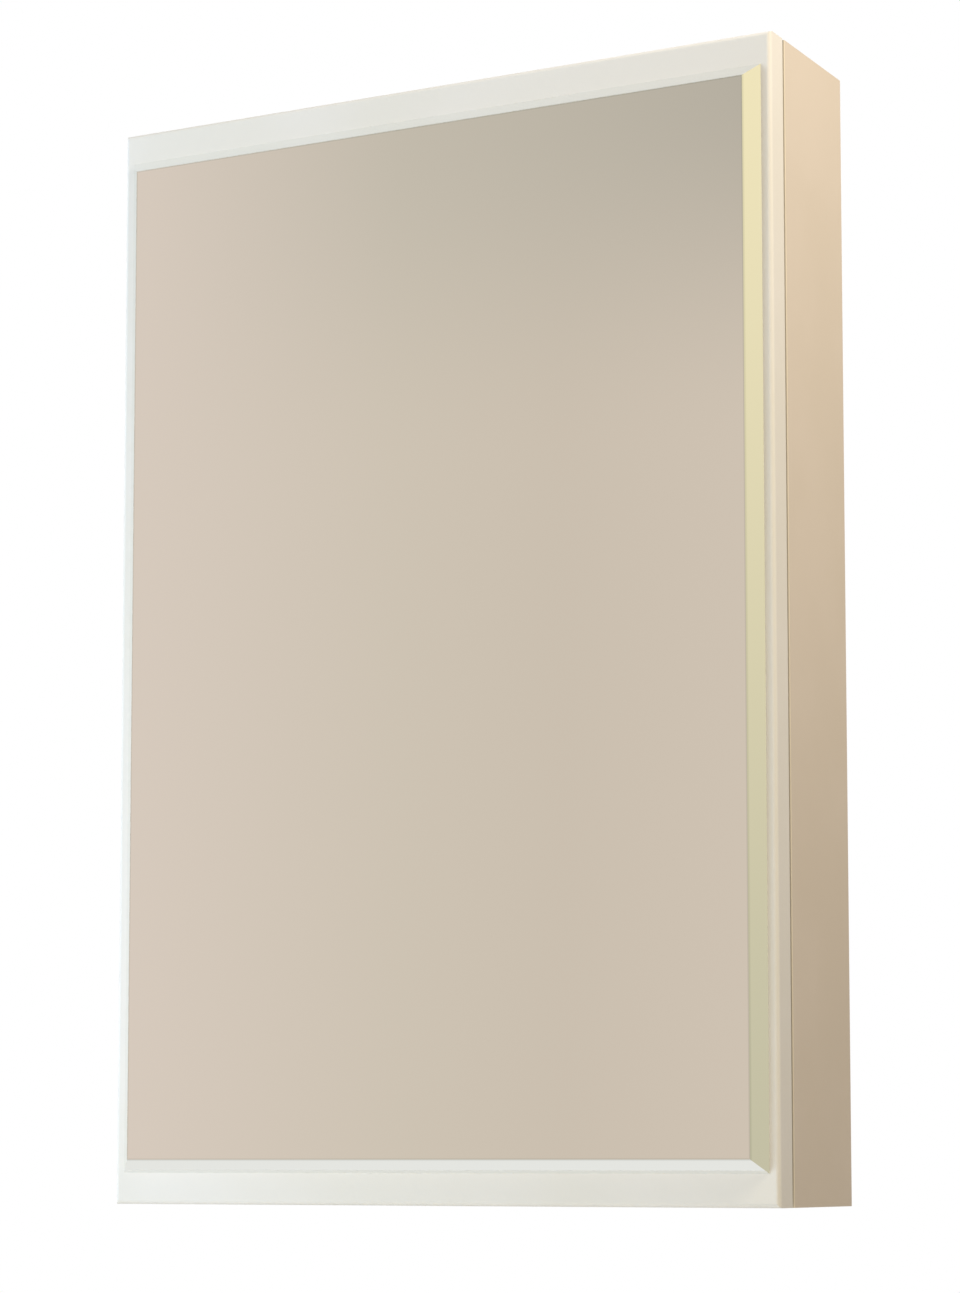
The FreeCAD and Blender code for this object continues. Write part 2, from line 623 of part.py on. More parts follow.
def glass_shelf(height):
    """Glass shelf lying on its four pins, with ground edges."""
    shelf = box(
        INNER_LEFT + SHELF_SIDE_PLAY, INNER_RIGHT - SHELF_SIDE_PLAY, FRONT + SHELF_FRONT_SETBACK,
        BACK_FACE - SHELF_BACK_PLAY, height, height + SHELF_THICKNESS,
    )
    front = [e for e in shelf.Edges if abs(e.CenterOfMass.y - FRONT - SHELF_FRONT_SETBACK) < FIT]
    return shelf.makeChamfer(SHELF_ARRIS, [e for e in front if abs(e.CenterOfMass.x) < FIT])


LATCH_X = INNER_RIGHT - LATCH_WIDTH / 2
LATCH_FRONT = FRONT + LATCH_SETBACK
STRIKE_FACE = DOOR_BACK + STRIKE_THICKNESS
MAGNET_FACE = STRIKE_FACE + FACE_GAP
PLUNGER_FACE = MAGNET_FACE + MAGNET_PROUD


def latch_screws(play=0.0):
    """Two screws through the latch's ears into the right side panel."""
    y = LATCH_FRONT + LATCH_EAR_SETBACK + LATCH_EAR_LENGTH / 2
    heights = [MIDDLE + s * LATCH_SCREW_SPACING / 2 for s in (-1, 1)]
    return [pan_screw(Vector(INNER_RIGHT - LATCH_EAR, y, z), Vector(1, 0, 0), play) for z in heights]


def latch_housing():
    """Long housing on the right side panel with a bore for the plunger and two ears."""
    half = LATCH_HEIGHT / 2
    block = box(
        INNER_RIGHT - LATCH_WIDTH, INNER_RIGHT, LATCH_FRONT, LATCH_FRONT + LATCH_LENGTH, MIDDLE - half, MIDDLE + half,
    )
    inner = [e for e in block.Edges if abs(e.CenterOfMass.x - INNER_RIGHT + LATCH_WIDTH) < FIT]
    block = block.makeFillet(LATCH_ROUND, [e for e in inner if abs(e.CenterOfMass.z - MIDDLE) > half - FIT])
    reach = LATCH_SCREW_SPACING / 2 + LATCH_EAR_MARGIN
    ear_start = LATCH_FRONT + LATCH_EAR_SETBACK
    ears = box(
        INNER_RIGHT - LATCH_EAR, INNER_RIGHT, ear_start, ear_start + LATCH_EAR_LENGTH, MIDDLE - reach, MIDDLE + reach,
    )
    bore = rod(
        PLUNGER_RADIUS + RUNNING_FIT, Vector(LATCH_X, LATCH_FRONT, MIDDLE),
        Vector(LATCH_X, LATCH_FRONT + LATCH_BORE_DEPTH, MIDDLE),
    )
    return fused([block, ears]).cut([bore] + latch_screws(FIT))


def magnet(play=0.0):
    """Round magnet in the plunger's tip; with play it is the pocket."""
    start = Vector(LATCH_X, MAGNET_FACE, MIDDLE)
    return rod(MAGNET_RADIUS + play, start, start + Vector(0, MAGNET_THICKNESS, 0))


def plunger():
    """Push rod in the latch housing, standing just short of the strike when the door is shut."""
    start = Vector(LATCH_X, PLUNGER_FACE, MIDDLE)
    return rod(PLUNGER_RADIUS, start, start + Vector(0, PLUNGER_LENGTH, 0)).cut(magnet(FIT))


def strike_screws(play=0.0):
    """Two countersunk screws of the strike plate."""
    heights = [MIDDLE + s * STRIKE_SCREW_SPACING / 2 for s in (-1, 1)]
    return [sunk_screw(Vector(LATCH_X, STRIKE_FACE, z), Vector(0, -1, 0), play) for z in heights]


def strike_plate():
    """Steel plate on the door's back that the magnet holds."""
    plate = rounded_plate(
        LATCH_X, MIDDLE - STRIKE_HEIGHT / 2, MIDDLE + STRIKE_HEIGHT / 2, STRIKE_WIDTH, STRIKE_CORNER,
        DOOR_BACK, STRIKE_FACE,
    )
    return plate.cut(strike_screws(FIT))


def door_panel():
    """Flush door with softened front edges and the bores for cups and screws in its back."""
    panel = box(LEFT, RIGHT, DOOR_FRONT, DOOR_BACK, BOTTOM, TOP)
    front_edges = [e for e in panel.Edges if abs(e.CenterOfMass.y - DOOR_FRONT) < FIT]
    panel = panel.makeFillet(DOOR_EDGE_ROUND, front_edges)
    cup_bore = cup_body(CUP_RADIUS + FIT, CUP_INNER_DEPTH + CUP_FLOOR + FIT)
    cuts = strike_screws(FIT)
    for height in HINGE_HEIGHTS.values():
        cuts += raised([cup_bore] + cup_screws(FIT), height)
    return panel.cut(cuts)


def bumper(height):
    """Soft stop on the door's back, facing the right side panel's front edge."""
    seat = Vector(RIGHT - BUMPER_SIDE_INSET, DOOR_BACK, height)
    return rod(BUMPER_RADIUS, seat, seat + Vector(0, DOOR_GAP - FACE_GAP, 0))


# Section of the raised mirror: how far in from its outer edge each corner lies, and how far out of the door
BEVEL_SLOPE = math.atan2(MIRROR_RAISE, BEVEL_WIDTH)
STRIP_FOOT = MIRROR_GLASS / math.sin(BEVEL_SLOPE)
GLASS_BACK_EDGE = BEVEL_WIDTH * MIRROR_BACKING / MIRROR_RAISE + STRIP_FOOT
OUTER_FOOT, OUTER_RIM = (0.0, 0.0), (BEVEL_WIDTH, MIRROR_RAISE)
INNER_RIM, INNER_FOOT = (GLASS_BACK_EDGE, MIRROR_BACKING), (STRIP_FOOT, 0.0)


def mirror_corner(section_point, x_side, z_side):
    """Corner of the raised mirror for a point of its section and one of the four corner directions."""
    inset, out = section_point
    x = x_side * (RIGHT - STILE_WIDTH - inset)
    z = MIDDLE + z_side * (CABINET_HEIGHT / 2 - RAIL_WIDTH - inset)
    return Vector(x, DOOR_FRONT - out, z)


def bevel_strip(start, end):
    """Mirrored glass strip between two mitred corners, each given by its directions."""
    section = (OUTER_FOOT, OUTER_RIM, INNER_RIM, INNER_FOOT, OUTER_FOOT)
    ends = [Part.makePolygon([mirror_corner(p, *corner) for p in section]) for corner in (start, end)]
    return Part.makeLoft(ends, True, True)


def mirror_layer(front_point, back_point):
    """Pane whose edges slope from its front outline to its back outline."""
    corners = ((-1, -1), (1, -1), (1, 1), (-1, 1), (-1, -1))
    outlines = [Part.makePolygon([mirror_corner(p, *c) for c in corners]) for p in (front_point, back_point)]
    return Part.makeLoft(outlines, True, True)


def add(name, *solids):
    """Keep a node's solids under its name."""
    nodes[name] = solids[0] if len(solids) == 1 else Part.makeCompound(solids)


# Body of the cabinet
left_screw_holes = [s for h in HINGE_HEIGHTS.values() for s in raised(plate_screws(FIT), h)]
add("side_panel_left", side_panel().cut(left_screw_holes))
add("side_panel_right", mirrored_x(side_panel()).cut(latch_screws(FIT)))
add("top_panel", top_panel())
add("bottom_panel", mirrored_z(top_panel()))
add("back_panel", box(
    INNER_LEFT - GROOVE_DEPTH + GROOVE_PLAY, INNER_RIGHT + GROOVE_DEPTH - GROOVE_PLAY, BACK_FACE, -REAR_RAIL,
    INNER_BOTTOM - GROOVE_DEPTH + GROOVE_PLAY, INNER_TOP + GROOVE_DEPTH - GROOVE_PLAY,
))
add("hanging_rail", hanging_rail())
add("lower_rail", lower_rail())
add("edge_band_left", edge_band(LEFT, INNER_LEFT, BOTTOM, TOP, at_front(x=LEFT)))
add("edge_band_right", edge_band(INNER_RIGHT, RIGHT, BOTTOM, TOP, at_front(x=RIGHT)))
add("edge_band_top", edge_band(INNER_LEFT, INNER_RIGHT, INNER_TOP, TOP, at_front(z=TOP)))
add("edge_band_bottom", edge_band(INNER_LEFT, INNER_RIGHT, BOTTOM, INNER_BOTTOM, at_front(z=BOTTOM)))
add("cam_locks", *four_corners([cam_lock()]))
add("cam_bolts", *four_corners([cam_bolt()]))
add("cam_caps", *four_corners([cam_cap()]))
left_rail_dowels = rail_dowels()
add("wood_dowels", *four_corners(board_dowels()), *left_rail_dowels, *[mirrored_x(d) for d in left_rail_dowels])

# Shelves
pin_seats = [p for h in SHELF_HEIGHTS.values() for p in pin_places(h)]
left_pins = [shelf_pin(p) for p in pin_seats]
left_sleeves = [pin_sleeve(p) for p in pin_seats]
add("shelf_pins", *left_pins, *[mirrored_x(p) for p in left_pins])
add("shelf_pin_sleeves", *left_sleeves, *[mirrored_x(s) for s in left_sleeves])
for level, height in SHELF_HEIGHTS.items():
    add("glass_shelf_" + level, glass_shelf(height))

# Wall fixing
for side, x in KEYHOLE_PLACES.items():
    opening = keyhole(x, KEYHOLE_RADIUS, KEYHOLE_SLOT_RADIUS, -KEYHOLE_PLATE, 0)
    add("keyhole_plate_" + side, keyhole_plate(x).cut([opening] + keyhole_screws(x, FIT)))
add("keyhole_plate_screws", *[s for x in KEYHOLE_PLACES.values() for s in keyhole_screws(x)])

# Hinges
for level, height in HINGE_HEIGHTS.items():
    add("hinge_plate_" + level, *raised([mounting_plate()], height))
    add("hinge_arm_" + level, *raised([hinge_arm()], height))
    add("hinge_outer_links_" + level, *raised(outer_links(), height))
    add("hinge_inner_link_" + level, *raised([inner_link()], height))
    add("hinge_cup_" + level, *raised([hinge_cup()], height))
hinge_groups = {
    "hinge_plate_screws": plate_screws(),
    "hinge_adjust_screws": adjust_screws(),
    "hinge_arm_pins": hinge_arm_pins(),
    "hinge_cup_pins": hinge_cup_pins(),
    "hinge_cup_screws": cup_screws(),
}
for name, solids in hinge_groups.items():
    add(name, *[s for h in HINGE_HEIGHTS.values() for s in raised(solids, h)])

# Push latch
add("latch_housing", latch_housing())
add("latch_screws", *latch_screws())
add("latch_plunger", plunger())
add("latch_magnet", magnet())
add("latch_strike", strike_plate())
add("latch_strike_screws", *strike_screws())

# Door and mirror
add("door_panel", door_panel())
add("door_bumpers", bumper(TOP - BUMPER_END_INSET), bumper(BOTTOM + BUMPER_END_INSET))
add("mirror_backing", mirror_layer(INNER_RIM, INNER_FOOT))
add("mirror_glass", mirror_layer(OUTER_RIM, INNER_RIM))
add("bevel_strip_top", bevel_strip((-1, 1), (1, 1)))
add("bevel_strip_bottom", bevel_strip((-1, -1), (1, -1)))
add("bevel_strip_left", bevel_strip((-1, -1), (-1, 1)))
add("bevel_strip_right", bevel_strip((1, -1), (1, 1)))

os.makedirs("parts", exist_ok=True)
for name, shape in nodes.items():
    shape.exportStep("parts/" + name + ".step")
    print(name, len(shape.Solids), "solids,", round(shape.Volume / 1000, 2), "cm3, valid", shape.isValid())
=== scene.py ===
import logging
import math
from collections.abc import Iterator, Mapping, Sequence
from dataclasses import dataclass
from enum import Enum

import bmesh
import bpy
from mathutils import Matrix, Vector


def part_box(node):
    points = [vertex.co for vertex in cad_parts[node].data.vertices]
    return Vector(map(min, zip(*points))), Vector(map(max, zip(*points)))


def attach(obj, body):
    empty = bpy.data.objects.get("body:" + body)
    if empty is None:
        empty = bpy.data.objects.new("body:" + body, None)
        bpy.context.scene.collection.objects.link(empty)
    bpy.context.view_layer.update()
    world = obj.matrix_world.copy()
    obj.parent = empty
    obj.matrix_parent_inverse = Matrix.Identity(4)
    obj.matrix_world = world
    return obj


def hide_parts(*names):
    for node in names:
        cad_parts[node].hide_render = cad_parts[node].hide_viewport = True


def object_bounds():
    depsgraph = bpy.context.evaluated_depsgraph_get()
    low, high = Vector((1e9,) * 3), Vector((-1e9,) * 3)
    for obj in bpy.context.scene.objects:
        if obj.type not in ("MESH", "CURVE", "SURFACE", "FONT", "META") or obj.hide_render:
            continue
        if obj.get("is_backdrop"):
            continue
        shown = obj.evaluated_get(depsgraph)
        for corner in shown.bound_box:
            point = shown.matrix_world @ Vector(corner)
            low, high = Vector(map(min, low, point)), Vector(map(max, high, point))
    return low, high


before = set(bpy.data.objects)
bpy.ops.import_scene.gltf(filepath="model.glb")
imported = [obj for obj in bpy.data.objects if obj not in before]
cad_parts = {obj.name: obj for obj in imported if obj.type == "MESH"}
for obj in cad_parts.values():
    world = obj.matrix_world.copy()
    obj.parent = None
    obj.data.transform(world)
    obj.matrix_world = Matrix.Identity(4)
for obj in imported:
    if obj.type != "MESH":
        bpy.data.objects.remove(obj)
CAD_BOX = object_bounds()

# A wall-hung mirror cabinet in metres: +Z is up, the front faces -Y and the wall is the plane y = 0.

LOG = logging.getLogger("mirror_cabinet")
MM = 0.001
WELD = 0.001 * MM
CREASE = math.radians(35.0)

Colour = tuple[float, float, float, float]
Triple = tuple[float, float, float]
Span = tuple[float, float]
Stops = Sequence[tuple[float, Colour]]
Profile = Sequence[Span]
Shape = bmesh.types.BMesh


def shade(red: int, green: int, blue: int) -> Colour:
    """Turn display values into a linear colour, by the sRGB curve.

    Args:
        red: Red from 0 to 255.
        green: Green from 0 to 255.
        blue: Blue from 0 to 255.

    Returns:
        The linear colour, with full alpha.
    """
    levels = [value / 255 for value in (red, green, blue)]
    linear = [v / 12.92 if v <= 0.04045 else ((v + 0.055) / 1.055) ** 2.4 for v in levels]
    return (*linear, 1.0)


WHITE = shade(255, 255, 255)


class Facing(Enum):
    """Directions of the cabinet's frame."""

    RIGHT = (1.0, 0.0, 0.0)
    LEFT = (-1.0, 0.0, 0.0)
    FRONT = (0.0, -1.0, 0.0)
    BACK = (0.0, 1.0, 0.0)
    UP = (0.0, 0.0, 1.0)
    DOWN = (0.0, 0.0, -1.0)

    def axis(self) -> int:
        """Number of the axis that the direction lies on."""
        return [abs(part) for part in self.value].index(1.0)

    def end(self, low: Vector, high: Vector) -> float:
        """Place of a box's outermost face in this direction."""
        return (high if sum(self.value) > 0 else low)[self.axis()]


class HeadStyle(Enum):
    """Forms of a screw's head."""

    PAN = "domed head on its seat"
    SUNK = "countersunk head flush with its seat"
    CHEESE = "flat head of an adjusting screw"


# Shader nodes

PATTERN_MIDDLE = 0.5
PATTERN_SPREAD = (0.3, 0.7)
GRAIN_LAYERS = 1.0
CLOUD_LAYERS = 3.0
FIBRE_LAYERS = 4.0

# Sockets of a Mix node for colours
MIX_FACTOR, MIX_FIRST, MIX_SECOND, MIX_RESULT = 0, 6, 7, 2


class Wire:
    """An output socket that takes part in Python arithmetic."""

    def __init__(self, bench: "Bench", socket: bpy.types.NodeSocket | None) -> None:
        """Keep the socket and the bench that its nodes stand on."""
        self.bench = bench
        self.socket = socket

    def maths(self, operation: str, *operands: "Wire | float") -> "Wire":
        """Result of one Math node over values or wires, in order."""
        return self.bench.node("ShaderNodeMath", {"operation": operation}, dict(enumerate(operands)))

    def __add__(self, other: "Wire | float") -> "Wire":
        """Sum of two values."""
        return self.maths("ADD", self, other)

    def __radd__(self, other: float) -> "Wire":
        """Sum with a number in front."""
        return self.maths("ADD", other, self)

    def __sub__(self, other: "Wire | float") -> "Wire":
        """Difference of two values."""
        return self.maths("SUBTRACT", self, other)

    def __rsub__(self, other: float) -> "Wire":
        """Difference from a number in front."""
        return self.maths("SUBTRACT", other, self)

    def __mul__(self, other: "Wire | float") -> "Wire":
        """Product of two values."""
        return self.maths("MULTIPLY", self, other)

    def __rmul__(self, other: float) -> "Wire":
        """Product with a number in front."""
        return self.maths("MULTIPLY", other, self)

    def __abs__(self) -> "Wire":
        """Size of a value without its sign."""
        return self.maths("ABSOLUTE", self)

    def greater(self, other: "Wire | float") -> "Wire":
        """Larger of two values."""
        return self.maths("MAXIMUM", self, other)

    def swing(self, size: float) -> "Wire":
        """How far a pattern is from its middle value, times a size."""
        return size * (self - PATTERN_MIDDLE)

    def ease(self, start: float, end: float) -> "Wire":
        """Soft step from 0 at the start value to 1 at the end value."""
        inputs = {"Value": self, "From Min": start, "From Max": end}
        return self.bench.node("ShaderNodeMapRange", {"interpolation_type": "SMOOTHSTEP"}, inputs)


Plug = Wire | float | Colour | Triple
Inputs = dict[str, Plug]


class Bench:
    """The node tree of one material or of the world."""

    def __init__(self, tree: bpy.types.NodeTree) -> None:
        """Clear the tree and keep it."""
        tree.nodes.clear()
        self.tree = tree

    def node(
        self, kind: str, settings: Mapping[str, object] | None = None,
        inputs: Mapping[str | int, Plug] | None = None, output: str | int = 0,
    ) -> Wire:
        """Add a node.

        Args:
            kind: Blender's type name of the node.
            settings: Its own settings, set first; stops are the colours of a ramp.
            inputs: Values or wires for its sockets.
            output: Which of its sockets comes out.

        Returns:
            The chosen output.
        """
        made = self.tree.nodes.new(kind)
        for name, value in (settings or {}).items():
            if name == "stops":
                self.set_stops(made.color_ramp, value)
            else:
                setattr(made, name, value)
        for name, value in (inputs or {}).items():
            if isinstance(value, Wire):
                self.tree.links.new(value.socket, made.inputs[name])
            else:
                made.inputs[name].default_value = value
        return Wire(self, made.outputs[output] if made.outputs else None)

    @staticmethod
    def set_stops(ramp: bpy.types.ColorRamp, stops: Stops) -> None:
        """Set a ramp's colours.

        Args:
            ramp: The ramp to set.
            stops: Places from 0 to 1 with their colours, in order.
        """
        while len(ramp.elements) < len(stops):
            ramp.elements.new(1.0)
        for element, (place, colour) in zip(ramp.elements, stops):
            element.position = place
            element.color = colour

    def vectors(self, operation: str, *operands: Wire | Triple, output: str = "Vector") -> Wire:
        """Result of one Vector Math node, from its Vector output or, for a number, its Value output."""
        settings = {"operation": operation}
        return self.node("ShaderNodeVectorMath", settings, dict(enumerate(operands)), output)

    def place(self) -> Wire:
        """Place on the object, in metres of the cabinet's frame."""
        return self.node("ShaderNodeTexCoord", output="Object")

    def along(self, vector: Wire, axis: str) -> Wire:
        """One of the three parts of a vector, named X, Y or Z."""
        return self.node("ShaderNodeSeparateXYZ", inputs={"Vector": vector}, output=axis)

    def stretch(self, vector: Wire, scale: Triple) -> Wire:
        """Vector with each part scaled by itself."""
        return self.vectors("MULTIPLY", vector, scale)

    def turned_to(self, facing: Facing) -> Wire:
        """How much the surface faces a direction, from -1 to 1."""
        normal = self.node("ShaderNodeTexCoord", output="Normal")
        return self.vectors("DOT_PRODUCT", normal, facing.value, output="Value")

    def noise(self, place: Wire, scale: float = 1.0, layers: float = 2.0) -> Wire:
        """Cloudy value around the middle, with so many spots to the metre and layers of finer ones."""
        return self.node("ShaderNodeTexNoise", inputs={"Vector": place, "Scale": scale, "Detail": layers})

    def mix(self, factor: Wire | float, first: Wire | Colour, second: Wire | Colour) -> Wire:
        """Colour between the first one, at a factor of 0, and the second one, at 1."""
        inputs = {MIX_FACTOR: factor, MIX_FIRST: first, MIX_SECOND: second}
        return self.node("ShaderNodeMix", {"data_type": "RGBA"}, inputs, MIX_RESULT)

    def bump(self, height: Wire, share: float, depth: float) -> Wire:
        """Surface direction over relief from 0 to 1, of which a share shows, with its depth in metres."""
        inputs = {"Strength": share, "Distance": depth, "Height": height}
        return self.node("ShaderNodeBump", inputs=inputs, output="Normal")

    def backdrop_ray(self) -> Wire:
        """Tell the rays that show a backdrop: straight, mirrored or through glass.

        Returns:
            1 for these rays, 0 for others.
        """
        kinds = ("Is Camera Ray", "Is Glossy Ray", "Is Transmission Ray")
        straight, mirrored, through = (self.node("ShaderNodeLightPath", output=kind) for kind in kinds)
        return straight.greater(mirrored).greater(through)

    def finish(self, surface: Wire, kind: str = "ShaderNodeOutputMaterial") -> None:
        """Lead a shader to the tree's output, whose type can be named."""
        self.node(kind, inputs={"Surface": surface})


def blank_material(name: str) -> tuple[bpy.types.Material, Bench]:
    """Make a material without nodes.

    Args:
        name: Name of the material.

    Returns:
        The material, and the bench for its nodes.
    """
    made = bpy.data.materials.new(name)
    made.use_nodes = True
    return made, Bench(made.node_tree)


# Finishes: a scale is in spots to the metre, and relief is the share that shows and its depth


@dataclass(frozen=True)
class Finish:
    """Any finish: a name, and the shader inputs that make it."""

    name: str

    def surface(self, bench: Bench) -> Inputs:
        """Inputs of the surface shader, by socket name."""
        raise NotImplementedError

    def material(self) -> bpy.types.Material:
        """Make the material of this finish, once.

        Returns:
            The material.
        """
        label = self.name + "_finish"
        made = bpy.data.materials.get(label)
        if made is None:
            made, bench = blank_material(label)
            bench.finish(bench.node("ShaderNodeBsdfPrincipled", inputs=self.surface(bench)))
        return made


@dataclass(frozen=True)
class Lacquer(Finish):
    """Sprayed satin lacquer with a faint peel."""

    light: Colour
    dull: Colour
    roughness: float = 0.34
    roughness_swing: float = 0.12
    cloud_scale: float = 7.0
    cloud_spread: Span = (0.35, 0.65)
    peel_scale: float = 520.0
    relief: Span = (0.25, 0.03 * MM)
    coat: float = 0.12
    coat_roughness: float = 0.2

    def surface(self, bench: Bench) -> Inputs:
        """Clouded white over a fine peel.

        Args:
            bench: Where the nodes go.

        Returns:
            The shader's inputs.
        """
        place = bench.place()
        cloud = bench.noise(place, self.cloud_scale, CLOUD_LAYERS)
        return {
            "Base Color": bench.mix(cloud.ease(*self.cloud_spread), self.dull, self.light),
            "Roughness": self.roughness + cloud.swing(self.roughness_swing),
            "Normal": bench.bump(bench.noise(place, self.peel_scale), *self.relief),
            "Coat Weight": self.coat,
            "Coat Roughness": self.coat_roughness,
        }


@dataclass(frozen=True)
class Chipboard:
    """Bare edge of a chipboard, with its pressed chips and pores."""

    pale: Colour
    dark: Colour
    pore: Colour
    chip_scale: float = 1100.0
    chip_lie: Triple = (0.4, 1.0, 0.55)
    pore_scale: float = 1760.0
    pore_from: Span = (0.58, 0.68)

    def colour(self, bench: Bench, place: Wire) -> Wire:
        """Colour of the bare chips.

        Args:
            bench: Where the nodes go.
            place: Where the pattern is read.

        Returns:
            The colour.
        """
        inputs = {"Vector": bench.stretch(place, self.chip_lie), "Scale": self.chip_scale}
        chip = bench.node("ShaderNodeTexVoronoi", inputs=inputs, output="Color")
        pores = bench.noise(place, self.pore_scale).ease(*self.pore_from)
        return bench.mix(pores, bench.mix(bench.along(chip, "X"), self.dark, self.pale), self.pore)


@dataclass(frozen=True)
class Laminate(Finish):
    """Melamine-faced board whose edges against the wall are bare."""

    light: Colour
    dull: Colour
    core: Chipboard
    roughness: float = 0.42
    roughness_swing: float = 0.1
    bare_from: Span = (0.6, 0.8)
    bare_roughness: float = 0.4
    cloud_scale: float = 11.0
    pearl_scale: float = 1500.0
    relief: Span = (0.3, 0.03 * MM)

    def surface(self, bench: Bench) -> Inputs:
        """Pearled cream face, and chips where the board faces the wall.

        Args:
            bench: Where the nodes go.

        Returns:
            The shader's inputs.
        """
        place = bench.place()
        bare = bench.turned_to(Facing.BACK).ease(*self.bare_from)
        cloud = bench.noise(place, self.cloud_scale, CLOUD_LAYERS)
        face = bench.mix(cloud.ease(*PATTERN_SPREAD), self.dull, self.light)
        pearl = bench.noise(place, self.pearl_scale, GRAIN_LAYERS)
        return {
            "Base Color": bench.mix(bare, face, self.core.colour(bench, place)),
            "Roughness": self.roughness + cloud.swing(self.roughness_swing) + self.bare_roughness * bare,
            "Normal": bench.bump(pearl, *self.relief),
        }


@dataclass(frozen=True)
class EdgeBanding(Finish):
    """Plastic band with a glue line where it meets the board."""

    light: Colour
    glue: Colour
    glue_place: float
    glue_width: float = 0.12 * MM
    glue_share: float = 0.8
    streaks: Triple = (900.0, 900.0, 30.0)
    roughness: float = 0.3
    streak_roughness: float = 0.1
    relief: Span = (0.12, 0.02 * MM)

    def surface(self, bench: Bench) -> Inputs:
        """Smooth plastic that darkens in the glue line.

        Args:
            bench: Where the nodes go.

        Returns:
            The shader's inputs.
        """
        place = bench.place()
        past = self.glue_place - bench.along(place, "Y")
        line = 1 - past.ease(self.glue_width / 2, self.glue_width)
        streak = bench.noise(bench.stretch(place, self.streaks))
        return {
            "Base Color": bench.mix(line * self.glue_share, self.light, self.glue),
            "Roughness": self.roughness + self.streak_roughness * streak,
            "Normal": bench.bump(streak, *self.relief),
        }


@dataclass(frozen=True)
class BackBoard(Finish):
    """Hard fibreboard, painted on the room side and bare on the wall side."""

    paint: Colour
    pale: Colour
    dark: Colour
    painted_from: Span = (0.4, 0.6)
    fibres: Triple = (260.0, 260.0, 900.0)
    mesh_scale: float = 700.0
    roughness: float = 0.78
    paint_smoothing: float = 0.36
    relief: Span = (0.2, 0.05 * MM)

    def surface(self, bench: Bench) -> Inputs:
        """Paint in front, brown fibres behind.

        Args:
            bench: Where the nodes go.

        Returns:
            The shader's inputs.
        """
        place = bench.place()
        painted = bench.turned_to(Facing.FRONT).ease(*self.painted_from)
        fibre = bench.noise(bench.stretch(place, self.fibres), layers=FIBRE_LAYERS)
        mesh = bench.node("ShaderNodeTexVoronoi", inputs={"Vector": place, "Scale": self.mesh_scale})
        bare = bench.mix(fibre.ease(*PATTERN_SPREAD), self.dark, self.pale)
        return {
            "Base Color": bench.mix(painted, bare, self.paint),
            "Roughness": self.roughness - self.paint_smoothing * painted,
            "Normal": bench.bump(mesh + fibre, *self.relief),
        }


@dataclass(frozen=True)
class Silvering(Finish):
    """Silvered glass: clear over its face, a little duller towards the rims of pane and strips."""

    face: Colour
    rim: Colour
    middle: float
    half_width: float
    half_height: float
    rim_width: float = 1.2 * MM
    rim_core: float = 0.2
    rim_share: float = 0.5
    rim_roughness: float = 0.05
    haze_scale: float = 5.0
    haze_from: Span = (0.5, 0.8)
    haze_roughness: float = 0.02
    roughness: float = 0.012

    def surface(self, bench: Bench) -> Inputs:
        """Mirror with a soft rim line and a breath of haze.

        Args:
            bench: Where the nodes go.

        Returns:
            The shader's inputs.
        """
        place = bench.place()
        beside = abs(bench.along(place, "X")) - self.half_width
        above = abs(bench.along(place, "Z") - self.middle) - self.half_height
        rim = 1 - abs(beside.greater(above)).ease(self.rim_core * self.rim_width, self.rim_width)
        haze = bench.noise(place, self.haze_scale, FIBRE_LAYERS).ease(*self.haze_from)
        return {
            "Base Color": bench.mix(rim * self.rim_share, self.face, self.rim),
            "Metallic": 1.0,
            "Roughness": self.roughness + self.haze_roughness * haze + self.rim_roughness * rim,
        }


@dataclass(frozen=True)
class FloatGlass(Finish):
    """Clear glass whose ground edges show its green."""

    face: Colour
    edge: Colour
    face_from: Span = (0.6, 0.9)
    ground_scale: float = 1800.0
    roughness: float = 0.01
    edge_roughness: float = 0.1
    ground_roughness: float = 0.2
    refraction: float = 1.52

    def surface(self, bench: Bench) -> Inputs:
        """Clear faces and frosted green edges.

        Args:
            bench: Where the nodes go.

        Returns:
            The shader's inputs.
        """
        edge = 1 - abs(bench.turned_to(Facing.UP)).ease(*self.face_from)
        ground = bench.noise(bench.place(), self.ground_scale)
        frost = self.edge_roughness + self.ground_roughness * ground
        return {
            "Base Color": bench.mix(edge, self.face, self.edge),
            "Roughness": self.roughness + edge * frost,
            "Transmission Weight": 1.0,
            "IOR": self.refraction,
        }


@dataclass(frozen=True)
class Plating(Finish):
    """Plated metal with fine drawing lines."""

    bright: Colour
    dull: Colour
    roughness: float
    lines: Triple = (2600.0, 160.0, 2600.0)
    line_swing: float = 0.16
    stain_scale: float = 140.0
    stain_spread: Span = (0.35, 0.75)
    stain_swing: float = 0.12
    relief: Span = (0.08, 0.02 * MM)

    def surface(self, bench: Bench) -> Inputs:
        """Metal with drawn lines and faint stains.

        Args:
            bench: Where the nodes go.

        Returns:
            The shader's inputs.
        """
        place = bench.place()
        line = bench.noise(bench.stretch(place, self.lines))
        stain = bench.noise(place, self.stain_scale, CLOUD_LAYERS)
        return {
            "Base Color": bench.mix(stain.ease(*self.stain_spread), self.bright, self.dull),
            "Metallic": 1.0,
            "Roughness": self.roughness + line.swing(self.line_swing) + stain.swing(self.stain_swing),
            "Normal": bench.bump(line, *self.relief),
        }


